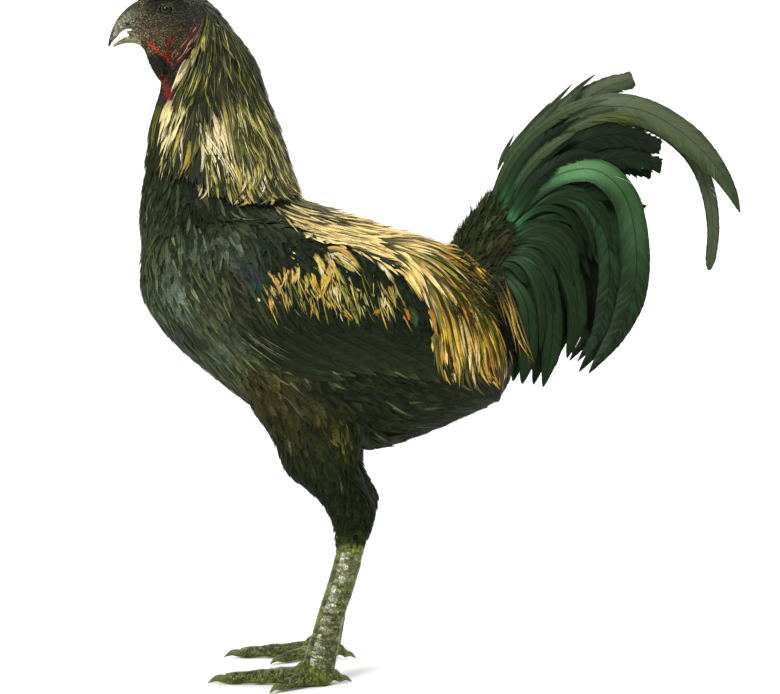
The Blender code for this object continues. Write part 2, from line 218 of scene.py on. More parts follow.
def ball(centre, radius, squash=(1, 1, 1), n=20):
    rings = []
    for t in np.linspace(0.02, math.pi - 0.02, n):
        th = np.linspace(0, 2 * math.pi, n, endpoint=False)
        ring = np.stack(
            [np.sin(t) * np.cos(th), np.sin(t) * np.sin(th), np.full(n, np.cos(t))], 1
        )
        rings.append(np.array(centre) + ring * radius * np.array(squash))
    return ring_mesh(rings)


def joined(parts, name="joined"):
    verts, faces, base = [], [], 0
    for v, f in parts:
        verts.append(np.asarray(v))
        faces += [tuple(i + base for i in face) for face in f]
        base += len(v)
    me = bpy.data.meshes.new(name)
    me.from_pydata(np.vstack(verts).tolist(), [], faces)
    me.update()
    bm = bmesh.new()
    bm.from_mesh(me)
    bmesh.ops.recalc_face_normals(bm, faces=bm.faces)
    bm.to_mesh(me)
    bm.free()
    return me


def evaluated(ob):
    graph = bpy.context.evaluated_depsgraph_get()
    graph.update()
    made = bpy.data.meshes.new_from_object(ob.evaluated_get(graph))
    bpy.data.objects.remove(ob)
    return made


def voxelled(parts, size, rounds=2, name="voxelled"):
    """One closed surface round all the parts."""
    ob = bpy.data.objects.new(name, joined(parts, name))
    bpy.context.scene.collection.objects.link(ob)
    step = ob.modifiers.new("remesh", "REMESH")
    step.mode = "VOXEL"
    step.voxel_size = size
    step.adaptivity = 0.0
    if rounds:
        soft = ob.modifiers.new("soft", "SMOOTH")
        soft.factor = 0.5
        soft.iterations = rounds
    return evaluated(ob)


def tree_of(me):
    n = len(me.vertices)
    co = np.empty(n * 3, np.float32)
    me.vertices.foreach_get("co", co)
    return BVHTree.FromPolygons(
        [tuple(c) for c in co.reshape(-1, 3).tolist()],
        [tuple(p.vertices) for p in me.polygons],
    )


# ---- stations of the solids --------------------------------------------------------------------
TRUNK = [
    ((168, 212), (143, 256), 0, 34),
    ((192, 196), (144, 298), 0, 60),
    ((232, 188), (172, 340), 0, 76),
    ((280, 190), (218, 380), 0, 83),
    ((322, 207), (272, 420), 0, 86),
    ((362, 219), (325, 444), 0, 86),
    ((402, 235), (376, 449), 0, 84),
    ((438, 252), (424, 434), 0, 79),
    ((468, 276), (468, 415), 0, 68),
    ((490, 304), (497, 400), 0, 50),
    ((505, 330), (511, 378), 0, 26),
]
NECK = [
    ((330, 240), (150, 290), 0, 66),
    ((312, 206), (141, 240), 0, 65),
    ((300, 194), (141, 205), 0, 62),
    ((295, 176), (145, 176), 0, 57),
    ((287, 152), (148, 150), 0, 52),
    ((280, 126), (149, 127), 0, 46),
    ((269, 102), (153, 107), 0, 40),
    ((264, 82), (161, 90), 0, 35),
    ((257, 62), (160, 76), 0, 31),
    ((246, 45), (163, 61), 0, 28.5),
    ((233, 29), (168, 45), 0, 26),
    ((220, 11), (176, 27), 0, 22),
    ((208, 0), (184, 12), 0, 15),
]
TAIL_BASE = [
    ((438, 262), (500, 352), 0, 58),
    ((452, 243), (520, 326), 0, 49),
    ((463, 225), (536, 296), 0, 40),
    ((478, 207), (546, 264), 0, 31),
    ((493, 190), (548, 234), 0, 22),
    ((508, 183), (540, 211), 0, 13),
]
SADDLE = [
    ((340, 225), (346, 262), 0, 36),
    ((372, 230), (378, 285), 0, 56),
    ((404, 235), (412, 325), 0, 80),
    ((438, 247), (446, 366), 0, 92),
    ((466, 270), (474, 390), 0, 84),
    ((490, 298), (498, 394), 0, 68),
    ((507, 326), (511, 374), 0, 42),
]
SADDLE_LIFT = 0.002
WING_STATIONS = [
    ((190, 243), (194, 268), -58, 8),
    ((208, 229), (213, 300), -69, 13),
    ((238, 220), (240, 335), -75, 16.5),
    ((284, 223), (280, 357), -77, 18),
    ((334, 237), (325, 374), -77, 17.5),
    ((384, 257), (375, 379), -78, 15.5),
    ((424, 283), (420, 384), -77, 12.5),
    ((452, 312), (452, 380), -74, 9),
    ((468, 336), (470, 364), -70, 6),
]
THIGH = [
    ((352, 340), (236, 374), -46, 30),
    ((362, 392), (253, 412), -49, 33),
    ((361, 438), (274, 442), -53, 31),
    ((359, 466), (285, 472), -57, 28),
    ((366, 487), (307, 490), -60, 25),
    ((376, 505), (324, 507), -63, 22),
    ((375, 522), (332, 524), -64.5, 19),
    ((368, 540), (334, 541), -65.5, 15.5),
    ((362, 553), (336, 553), -66, 12.5),
]
HEAD = [
    ((222, 14), (206, 56), 0, 15),
    ((206, -1), (196, 60), 0, 19),
    ((192, -9), (185, 64), 0, 21.5),
    ((178, -13), (174, 67), 0, 22.5),
    ((165, -12), (163, 67), 0, 21.5),
    ((153, -7), (153, 60), 0, 18.5),
    ((144, 0), (145, 51), 0, 14.5),
    ((137, 5), (138, 43), 0, 11),
    ((131, 10), (133, 37), 0, 8),
]
UPPER_BEAK = [
    ((140, 1), (141, 29), 0, 11.0),
    ((132, 5.5), (134, 29), 0, 9.4),
    ((125, 11), (127, 29), 0, 7.4),
    ((118, 19), (121, 32), 0, 5.4),
    ((113, 28), (117, 37), 0, 3.8),
    ((109.5, 38), (113, 41), 0, 2.2),
    ((108, 46), (109.5, 46.5), 0, 0.9),
]
LOWER_BEAK = [
    ((142, 32.5), (142, 46.5), 0, 8.8),
    ((134, 34.6), (135, 43.6), 0, 7.4),
    ((126, 37.2), (127, 43.2), 0, 5.6),
    ((119, 40.6), (120, 44.6), 0, 3.6),
    ((113, 45.2), (113.4, 47.0), 0, 1.4),
]
COMB = [
    ((137, -4), (140, 6), 0, 5.0),
    ((143, -13), (147, 2), 0, 8.0),
    ((152, -19), (156, -4), 0, 9.5),
    ((162, -22), (164, -8), 0, 9.5),
    ((172, -21), (173, -9), 0, 7.0),
    ((179, -17), (179, -11), 0, 3.0),
]
WATTLE = [
    ((152, 42), (144, 49), -8.0, 3.4),
    ((158, 48), (148.5, 62), -8.6, 5.2),
    ((165, 56), (153.5, 72), -9.0, 5.4),
    ((169, 66), (159.5, 81), -9.0, 3.6),
]
THROAT = [
    ((192, 52), (164, 66), 0, 9),
    ((193, 66), (161.5, 78), 0, 11),
    ((196, 82), (160, 91), 0, 13),
    ((202, 96), (156, 104), 0, 16),
    ((208, 108), (153, 116), 0, 18),
]
LOBE = [
    ((201, 24), (193, 27), -23.5, 3.0),
    ((200, 36), (188, 38), -24.5, 4.6),
    ((194, 48), (180, 49), -24.0, 5.0),
    ((186, 60), (173, 61), -22.5, 4.4),
    ((180, 69), (171, 70), -21.0, 2.6),
]
SHANK_LINE = [(351, 538), (348, 560), (339.5, 590), (329.6, 620), (324.5, 643), (320, 661), (318, 674)]
SHANK_DEEP = [13.5, 13.4, 13.1, 13.0, 14.2, 15.6, 14.6]
SHANK_WIDE = 10.5
TOES = {
    "middle": dict(turn=-2, length=90, root=9.4, tip=5.6, claw=17),
    "inner": dict(turn=-36, length=52, root=8.2, tip=5.2, claw=15),
    "outer": dict(turn=43, length=44, root=8.2, tip=5.0, claw=14),
    "hind": dict(turn=197, length=19, root=6.6, tip=4.6, claw=12),
}


def face_shape(th, a, b):
    k = 1.0 - 0.20 * np.clip(a, 0, 1) ** 2 - 0.42 * np.clip(-a, 0, 1) ** 2
    return a, b * k


def three_ridges(th, a, b):
    ridge = 0.30 * np.cos(b * 3 * math.pi) * (a > 0)
    return a + ridge * (1 - 0.25 * np.abs(b)), b


# ---- surfaces: the coat's outside, and the skin -------------------------------------------------
def shank_rows(name, side, count):
    line = []
    for (u, v), d in zip(SHANK_LINE, SHANK_DEEP):
        p = at(u, v, -STANCE)
        line.append([p[0] + FOOT_BACK[name], -STANCE * side, p[2], d * UNIT * 0.962])
    return smooth(line, count)


def shank_rings(name, side, count, around, grow=0.0):
    rows = shank_rows(name, side, count)
    rings = []
    for i, row in enumerate(rows):
        along = rows[min(i + 1, count - 1), :3] - rows[max(i - 1, 0), :3]
        along /= np.linalg.norm(along)
        fore = np.cross([0, 1.0, 0], along)
        t = i / (count - 1)
        wide = SHANK_WIDE / 1000 * (1.0 + 0.18 * t**4 + 0.12 * (1 - t) ** 4)
        rings.append(
            section(row[:3], fore * (row[3] + grow), np.array([0, wide + grow, 0]), 2.2, around)
        )
    return rings


def toe_line(toe, name, side):
    d = TOES[toe]
    ankle = shank_rows(name, side, 9)[-1, :3].copy()
    ankle[2] = 0.0
    turn = math.radians(d["turn"])
    ahead = np.array([-math.cos(turn), -math.sin(turn) * side, 0])
    size = d["length"] / 1000
    if toe == "hind":
        shares, lifts = [0.0, 0.45, 1.0], [0.016, 0.012, 0.0048]
    else:
        shares, lifts = [0.0, 0.3, 0.62, 1.0], [0.0105, 0.0088, 0.0076, 0.0052]
    start = ankle + ahead * 0.004
    points = [start + ahead * size * s + np.array([0, 0, z]) for s, z in zip(shares, lifts)]
    radii = np.interp(shares, [0, 1], [d["root"] / 1000, d["tip"] / 1000])
    return points, radii, ahead, ankle


def toe_bulges(points, radii, toe):
    """The toe's own line, with the swellings at its joints."""
    rows = smooth(np.hstack([np.array(points), np.array(radii)[:, None]]), 25)
    joints = {"middle": [0.34, 0.64, 0.9], "inner": [0.5, 0.86], "outer": [0.3, 0.55, 0.8], "hind": [0.7]}[toe]
    t = np.linspace(0, 1, 25)
    swell = sum(np.exp(-(((t - j) / 0.07) ** 2)) for j in joints)
    rows[:, 3] *= 0.90 + 0.13 * swell
    return rows[:, :3], rows[:, 3]


def legs_parts():
    parts = []
    for name, side in SIDES.items():
        parts.append(ring_mesh(shank_rings(name, side, 40, 36)))
        ankle = None
        for toe in TOES:
            points, radii, ahead, ankle = toe_line(toe, name, side)
            p, r = toe_bulges(points, radii, toe)
            parts.append(tube(p, r, 20, 50, floor=0.0))
        v, f = ball((0, 0, 0), 1.0, n=18)
        v = v * [0.0210, 0.0150, 0.0165] + [ankle[0] - 0.0045, ankle[1], 0.0105]
        v[:, 2] = np.maximum(v[:, 2], 0.0)
        parts.append((v, f))
    return parts


def body_parts(inset, wings=True):
    parts = [
        loft(TRUNK, 44, 48, 2.25, inset=inset),
        loft(NECK, 40, 44, 2.15, inset=inset * 0.8),
        loft(TAIL_BASE, 20, 32, 2.1, inset=inset),
        loft(SADDLE, 26, 40, 2.3, inset=inset, lift=SADDLE_LIFT),
    ]
    for name, side in SIDES.items():
        parts.append(loft(THIGH, 36, 36, 2.1, side, shift=FOOT_BACK[name], inset=inset * 0.45))
        if wings:
            parts.append(loft(WING_STATIONS, 30, 28, 2.2, side, inset=inset * 0.7))
    return parts


coat_mesh = voxelled(body_parts(0.0), 0.0032, rounds=18, name="coat_outside")
coat_tree = tree_of(coat_mesh)
print("outside of the coat:", len(coat_mesh.polygons))

EYE_PLACE = at(166.3, 10.2, -0.0152)


def loop_tube(points, radius, around=10, rings=40, close=True):
    pts = list(points) + ([points[0], points[1]] if close else [])
    return tube(pts, [radius] * len(pts), around, rings)


def on_side(points, side):
    return [at(u, v, -y / 1000) * np.array([1, side, 1]) for u, v, y in points]


def head_parts():
    parts = [
        loft(HEAD, 44, 56, 2.15, shape=face_shape),
        loft(COMB, 30, 48, 2.3, shape=three_ridges),
        loft(NECK[6:], 32, 44, 2.15, inset=0.0045),
        loft(THROAT, 16, 28, 2.1),
    ]
    for name, side in SIDES.items():
        parts.append(loft(WATTLE, 16, 16, 2.0, side))
        parts.append(loft(LOBE, 20, 18, 2.0, side, inset=0.0012))
        # the rim of the orbit
        v, f = ball((0, 0, 0), 1.0, n=24)
        parts.append((v * [0.0128, 0.0092, 0.0118] + [EYE_PLACE[0], side * 0.0118, EYE_PLACE[2]], f))
        # the brow
        parts.append(
            tube(
                on_side([(146, 2, 12.0), (154, -2, 15.6), (165, -3.6, 17.4), (177, -2, 18.0), (188, 4, 18.4)], side),
                [0.0020, 0.0030, 0.0034, 0.0030, 0.0018], 14, 30,
            )
        )
        # the ear's loop of folded skin: two thin folds that meet below
        for line in (
            [(200, 24, 24.2), (190, 36, 25.6), (184, 46, 25.8), (177, 55, 24.6), (173, 65, 22.4)],
            [(201.5, 27, 24.8), (194, 42, 26.4), (185, 54, 25.6), (178, 62, 24), (173, 68, 22.4)],
            [(173.5, 52, 20.5), (172.5, 60, 21.6), (173.2, 68, 22.0)],
        ):
            n = len(line)
            radii = [0.00070 * k for k in np.interp(np.linspace(0, 1, n), [0, 0.5, 1], [0.6, 1.05, 0.6])]
            parts.append(tube(on_side(line, side), radii, 10, 50))
        # the corner of the mouth
        parts.append(
            tube(on_side([(127.2, 31.5, 3.8), (131, 33.2, 6.4), (137, 35.5, 9.6), (144, 37.5, 13)], side), [0.0013, 0.0021, 0.0024, 0.0020], 12, 26)
        )
        # jaw, gape and cheek folds
        for line, r in (
            ([(131, 32, 8.2), (142, 35, 13.5), (153, 39, 17), (164, 44, 18.5), (173, 52, 18.5)], 0.0011),
            ([(150, 24, 18.6), (160, 27, 21.2), (171, 26, 22.2), (181, 21, 22.6)], 0.0009),
            ([(147, 29, 17), (158, 33, 20), (170, 33, 21.4), (182, 29, 22)], 0.0008),
            ([(143, 12, 14), (148, 18, 17.4), (152, 25, 19)], 0.0010),
            ([(150, 50, 12), (157, 60, 13.2), (163, 72, 13), (166, 84, 14)], 0.0014),
            ([(160, 47, 17.5), (168, 58, 17.5), (171, 69, 17)], 0.0012),
        ):
            n = len(line)
            radii = [r * k for k in np.interp(np.linspace(0, 1, n), [0, 0.5, 1], [0.4, 1, 0.4])]
            parts.append(tube(on_side(line, side), radii, 8, 26))
        # pea comb's side nodules
        for u, v, y, r in ((142, -4, 6, 2.4), (147, -8, 7.5, 3.0), (153, -11, 8.5, 3.2), (160, -13, 9, 3.2), (167, -13, 8, 2.8)):
            parts.append(ball(at(u, v, -y / 1000) * np.array([1, side, 1]), r / 1000, n=12))
    v, f = ball((0, 0, 0), 1.0, n=16)
    parts.append((v * [0.0052, 0.0066, 0.0036] + at(133.5, 34.2), f))
    for u, v, r in ((140, -4, 2.4), (145, -12, 3.0), (151, -17, 3.3), (158, -20, 3.5), (165, -21.5, 3.3), (171, -21, 2.8)):
        parts.append(ball(at(u, v, 0), r / 1000, (1, 0.8, 1), n=12))
    return parts


def union(a, b):
    first = bpy.data.objects.new("first", a)
    second = bpy.data.objects.new("second", b)
    for ob in (first, second):
        bpy.context.scene.collection.objects.link(ob)
    step = first.modifiers.new("union", "BOOLEAN")
    step.operation = "UNION"
    step.solver = "MANIFOLD"
    step.object = second
    made = evaluated(first)
    bpy.data.objects.remove(second)
    return made


HEAD_VOXEL = 0.00098
LEG_VOXEL = 0.0021
head_skin = voxelled(head_parts(), HEAD_VOXEL, rounds=3, name="head_skin")
leg_skin = voxelled(legs_parts(), LEG_VOXEL, rounds=3, name="leg_skin")
body_skin = voxelled(body_parts(0.0068), 0.0052, rounds=4, name="body_skin")
skin_mesh = union(union(body_skin, head_skin), leg_skin)
skin_mesh.shade_smooth()
print("skin:", len(skin_mesh.polygons), "faces")


# ---- colours (linear) ---------------------------------------------------------------------------
def srgb(r, g, b):
    c = np.array([r, g, b], float) / 255
    return np.where(c <= 0.04045, c / 12.92, ((c + 0.055) / 1.055) ** 2.4)


BLACK = srgb(24, 27, 20)
OLIVE = srgb(44, 46, 27)
BROWN = srgb(58, 50, 34)
TEAL = srgb(30, 58, 58)
VIOLET = srgb(48, 50, 72)
STRAW = srgb(222, 190, 112)
CREAM = srgb(238, 224, 176)
LIME = srgb(150, 152, 58)
GOLD = srgb(226, 172, 74)
AMBER = srgb(204, 130, 40)
ORANGE = srgb(214, 120, 26)
GREEN = srgb(36, 92, 52)
JADE = srgb(76, 150, 104)
SAGE = srgb(92, 104, 82)
FACE = srgb(62, 60, 40)
FACE_BROWN = srgb(92, 74, 52)
PINK = srgb(150, 112, 100)
RED = srgb(196, 40, 34)
DARK_RED = srgb(96, 28, 26)
HORN = srgb(104, 104, 86)


def mix(a, b, t):
    t = np.asarray(t)[..., None]
    return np.asarray(a) * (1 - t) + np.asarray(b) * t


def line_distance(u, v, line):
    """Distance in layout units from each u, v to a broken line."""
    best = np.full(np.shape(u), 1e9)
    for (u0, v0), (u1, v1) in zip(line, line[1:]):
        d = np.array([u1 - u0, v1 - v0], float)
        t = np.clip(((u - u0) * d[0] + (v - v0) * d[1]) / (d @ d), 0, 1)
        best = np.minimum(best, np.hypot(u - u0 - t * d[0], v - v0 - t * d[1]))
    return best


# ---- skin: relief, colour, unwrap ---------------------------------------------------------------
def box_places(points, normals):
    """Places on the skin's unwrap: charts by the way a surface faces, its side and its height."""
    axis = np.abs(normals).argmax(-1)
    sign = np.take_along_axis(normals, axis[..., None], -1)[..., 0] > 0
    chart = axis * 2 + sign
    chart = chart + 6 * (points[..., 1] > 0) + 12 * (points[..., 2] < 0.19)
    low = np.array([-0.36, -0.15, -0.01])
    q = points - low
    a = np.where(axis == 0, q[..., 1] + 0.2, q[..., 0])
    b = np.where(axis == 2, q[..., 1] + 0.2, q[..., 2])
    col, row = chart % 5, chart // 5
    return np.stack([(col + 0.02 + a * 1.22) / 5, (row + 0.02 + b * 1.22) / 5], -1)


def patch_at(u, v, u0, v0, a, b):
    return np.exp(-(((u - u0) / a) ** 2 + ((v - v0) / b) ** 2))


def finish_skin(me):
    n = len(me.vertices)
    co = np.empty(n * 3, np.float32)
    me.vertices.foreach_get("co", co)
    co = co.reshape(-1, 3).astype(float)
    no = np.empty(n * 3, np.float32)
    me.vertices.foreach_get("normal", no)
    no = no.reshape(-1, 3).astype(float)
    u, v = layout_of(co)
    bare = (u < 215) & (v < 110)
    push = np.zeros(n)
    pebble = np.zeros(n)
    for i in np.nonzero(bare)[0]:
        p = co[i]
        near = noise.voronoi(Vector(p * 480))[0]
        pebble[i] = near[1] - near[0]
        a = noise.noise(Vector(p * 900))
        fold = noise.noise(Vector((p[0] * 210, p[1] * 120, p[2] * 430)))
        push[i] = 0.00055 * min(pebble[i], 0.6) + 0.00016 * a + 0.00050 * fold
    away = np.linalg.norm(co - EYE_PLACE * np.where(co[:, 1:2] > 0, [[1, -1, 1]], [[1, 1, 1]]), axis=1)
    push *= smoothstep(0.0086, 0.0110, away)
    co += no * push[:, None]
    # sockets: room for the front of each eyeball
    off = np.hypot((co[:, 0] - EYE_PLACE[0]) / 1.14, co[:, 2] - EYE_PLACE[2])
    deep = smoothstep(0.0074, 0.0060, off) * (np.abs(co[:, 1]) > 0.0165) * bare
    co[:, 1] = np.sign(co[:, 1]) * (np.abs(co[:, 1]) * (1 - deep) + 0.0172 * deep)
    co[:, 2] = np.maximum(co[:, 2], 0.0)
    me.vertices.foreach_set("co", co.astype(np.float32).ravel())
    me.update()

    col = np.tile(BLACK * 0.8, (n, 1))
    grain = np.array([noise.noise(Vector(p * 260)) for p in co])
    grain2 = np.array([noise.noise(Vector(p * 800)) for p in co])
    # markings under the coat
    hackle = smoothstep(215, 180, v) * (u < 310)
    col = mix(col, OLIVE * 0.6, hackle)
    gold = (v < 300) & (u > 280) & (line_distance(u, v, [(290, 205), (400, 235), (450, 260), (480, 330)]) < 26)
    col = mix(col, srgb(34, 33, 14), gold * 1.0)
    # face
    face = ((u < 212) & (v < 105)).astype(float)
    tone = mix(srgb(40, 44, 30), srgb(62, 52, 33), smoothstep(14, 42, v + grain * 16))
    tone = mix(tone, srgb(24, 28, 20), smoothstep(18, 5, v + grain * 6) * smoothstep(136, 150, u) * 0.8)
    tone = mix(tone, srgb(34, 38, 28), smoothstep(176, 190, u) * smoothstep(34, 20, v) * 0.6)
    # pale pebbles, most of all in front and low on the cheek
    pale = smoothstep(0.10, 0.36, pebble) * (0.10 + 0.90 * smoothstep(184, 150, u + 0.4 * (40 - v)))
    pale *= 0.30 + 0.70 * smoothstep(8, 24, v)
    tone = mix(tone, srgb(156, 144, 102), pale * 0.58 * smoothstep(-0.25, 0.30, grain2 + 0.2))
    tone = mix(tone, srgb(20, 20, 12), smoothstep(0.14, 0.0, pebble) * 0.65)
    horned = smoothstep(149, 137, u + grain * 7) * smoothstep(36, 27, v)
    tone = mix(tone, mix(srgb(50, 52, 38), srgb(128, 124, 96), smoothstep(0.06, 0.30, pebble)), horned * 0.85)
    tone = mix(tone, srgb(34, 36, 22), smoothstep(50, 60, v) * smoothstep(180, 166, u))
    tone = mix(tone, srgb(104, 84, 60), patch_at(u, v, 152, 32, 13, 9) * (0.15 + 0.4 * smoothstep(-0.2, 0.3, grain2)))
    tone = mix(tone, srgb(26, 29, 20), smoothstep(3.4, 1.4, line_distance(u, v, [(138, 20), (148, 25), (160, 25), (172, 21)]) + grain * 2) * 0.4)
    # the ear's hollow: dull dark red
    hollow = np.minimum(line_distance(u, v, [(199, 27), (188, 45), (178, 58), (174, 66)]), 9)
    tone = mix(tone, srgb(52, 27, 22), smoothstep(6.0, 3.4, hollow + grain2) * 0.9)
    tone = mix(tone, srgb(70, 46, 36), smoothstep(10.0, 5.5, hollow + grain * 3) * 0.35)
    # the red V below the cheek: its front arm bright, its back arm faint
    arm = line_distance(u, v, [(149.5, 43.5), (158, 52), (168.5, 60)])
    tone = mix(tone, RED * 0.55, smoothstep(2.9, 1.1, arm + grain2 * 2.6) * 0.95)
    tone = mix(tone, srgb(206, 92, 60), smoothstep(1.6, 0.4, arm + grain2 * 3) * 0.35)
    arm = line_distance(u, v, [(169.5, 58), (167.5, 50), (171.5, 39)])
    tone = mix(tone, RED * 0.34, smoothstep(3.0, 1.0, arm + grain2 * 3.0) * 0.75)
    tone = mix(tone, srgb(25, 27, 16), smoothstep(9.0, 5.0, line_distance(u, v, [(156, 60), (163, 69), (170, 78)]) + grain * 3) * 0.85)
    # the brown red throat
    low = line_distance(u, v, [(163, 79), (166, 88), (169, 96)])
    tone = mix(tone, srgb(70, 32, 20), smoothstep(7.5, 4.0, low + grain * 3))
    tone = mix(tone, srgb(116, 56, 38), smoothstep(5.0, 2.0, low + grain2 * 4) * 0.5)
    spot = line_distance(u, v, [(168, 90), (170.5, 97)])
    tone = mix(tone, RED * 0.45, smoothstep(3.4, 1.0, spot + grain2 * 3) * 0.8)
    gape = line_distance(u, v, [(127, 31), (134, 34), (146, 37)])
    tone = mix(tone, srgb(150, 142, 104), smoothstep(4.0, 1.0, gape + grain * 3) * 0.5 * smoothstep(0.02, 0.2, pebble))
    comb = smoothstep(1, -5, v) * smoothstep(186, 178, u) * (np.abs(co[:, 1]) < 0.0125)
    tone = mix(tone, mix(RED * 0.42, DARK_RED, 0.5 + 0.5 * grain), comb)
    tone = mix(tone, srgb(20, 21, 14), smoothstep(0.0062, 0.0054, away * 0 + np.hypot(co[:, 0] - EYE_PLACE[0], co[:, 2] - EYE_PLACE[2])) * (v < 60))
    col = mix(col, tone, face)
    # shanks and toes
    shank = smoothstep(540, 549, v)
    olive = mix(srgb(94, 102, 42), srgb(58, 66, 24), smoothstep(-0.2, 0.4, grain))
    col = mix(col, olive, shank)
    point_colours(me, "Col", col)
    point_values(me, "face", face)
    point_values(me, "shank", shank)
    # unwrap, one chart per face
    layer = me.uv_layers.new(name="OFBake")
    vi = np.empty(len(me.loops), np.int32)
    me.loops.foreach_get("vertex_index", vi)
    fn = np.empty(len(me.polygons) * 3, np.float32)
    me.polygons.foreach_get("normal", fn)
    total = np.empty(len(me.polygons), np.int32)
    me.polygons.foreach_get("loop_total", total)
    fc = np.empty(len(me.polygons) * 3, np.float32)
    me.polygons.foreach_get("center", fc)
    fn, fc = fn.reshape(-1, 3), fc.reshape(-1, 3)
    axis = np.abs(fn).argmax(1)
    sign = fn[np.arange(len(fn)), axis] > 0
    chart = axis * 2 + sign + 6 * (fc[:, 1] > 0) + 12 * (fc[:, 2] < 0.19)
    chart, axis = np.repeat(chart, total), np.repeat(axis, total)
    q = co[vi] - np.array([-0.36, -0.15, -0.01])
    a = np.where(axis == 0, q[:, 1] + 0.2, q[:, 0])
    b = np.where(axis == 2, q[:, 1] + 0.2, q[:, 2])
    uv = np.stack([(chart % 5 + 0.02 + a * 1.22) / 5, (chart // 5 + 0.02 + b * 1.22) / 5], 1)
    layer.uv.foreach_set("vector", uv.astype(np.float32).ravel())


# ---- materials ----------------------------------------------------------------------------------
def new_material(name):
    mat = bpy.data.materials.new(name)
    mat.use_nodes = True
    tree = mat.node_tree
    bsdf = tree.nodes["Principled BSDF"]
    return mat, tree, bsdf


class Nodes:
    """Short words for making node trees."""

    def __init__(self, tree):
        self.tree = tree

    def make(self, kind, **values):
        node = self.tree.nodes.new(kind)
        for key, value in values.items():
            setattr(node, key, value)
        return node

    def wire(self, a, b):
        self.tree.links.new(a, b)

    def put(self, socket, value):
        if isinstance(value, bpy.types.NodeSocket):
            self.wire(value, socket)
        else:
            socket.default_value = value

    def attribute(self, name, out="Color"):
        return self.make("ShaderNodeAttribute", attribute_name=name).outputs[out]

    def uv(self, name):
        return self.make("ShaderNodeUVMap", uv_map=name).outputs["UV"]

    def math(self, op, a, b=0.0, c=0.0, clamp=False):
        node = self.make("ShaderNodeMath", operation=op, use_clamp=clamp)
        for i, value in enumerate((a, b, c)):
            self.put(node.inputs[i], value)
        return node.outputs[0]

    def split(self, vector):
        return self.make_xyz(vector)

    def make_xyz(self, vector):
        node = self.make("ShaderNodeSeparateXYZ")
        self.wire(vector, node.inputs[0])
        return node.outputs

    def combine(self, x, y, z=0.0):
        node = self.make("ShaderNodeCombineXYZ")
        for i, value in enumerate((x, y, z)):
            self.put(node.inputs[i], value)
        return node.outputs[0]

    def step(self, value, low, high, a=0.0, b=1.0):
        node = self.make("ShaderNodeMapRange", interpolation_type="SMOOTHSTEP")
        for key, v in (("Value", value), ("From Min", low), ("From Max", high), ("To Min", a), ("To Max", b)):
            self.put(node.inputs[key], v)
        return node.outputs["Result"]

    def mix(self, factor, a, b, blend="MIX"):
        node = self.make("ShaderNodeMix", data_type="RGBA", blend_type=blend)
        self.put(node.inputs["Factor"], factor)
        self.put(node.inputs[6], a)
        self.put(node.inputs[7], b)
        return node.outputs[2]

    def noise(self, vector, scale, detail=2.0, rough=0.5, out="Fac"):
        node = self.make("ShaderNodeTexNoise")
        if vector is not None:
            self.wire(vector, node.inputs["Vector"])
        node.inputs["Scale"].default_value = scale
        node.inputs["Detail"].default_value = detail
        node.inputs["Roughness"].default_value = rough
        return node.outputs[out]

    def voronoi(self, vector, scale, feature="F1", out="Distance"):
        node = self.make("ShaderNodeTexVoronoi", feature=feature)
        if vector is not None:
            self.wire(vector, node.inputs["Vector"])
        node.inputs["Scale"].default_value = scale
        return node.outputs[out]

    def bump(self, height, strength, distance, normal=None):
        node = self.make("ShaderNodeBump")
        node.inputs["Strength"].default_value = strength
        node.inputs["Distance"].default_value = distance
        self.wire(height, node.inputs["Height"])
        if normal is not None:
            self.wire(normal, node.inputs["Normal"])
        return node.outputs["Normal"]

    def scaled(self, colour, factor):
        return self.mix(1.0, colour, self.combine(factor, factor, factor), "MULTIPLY")


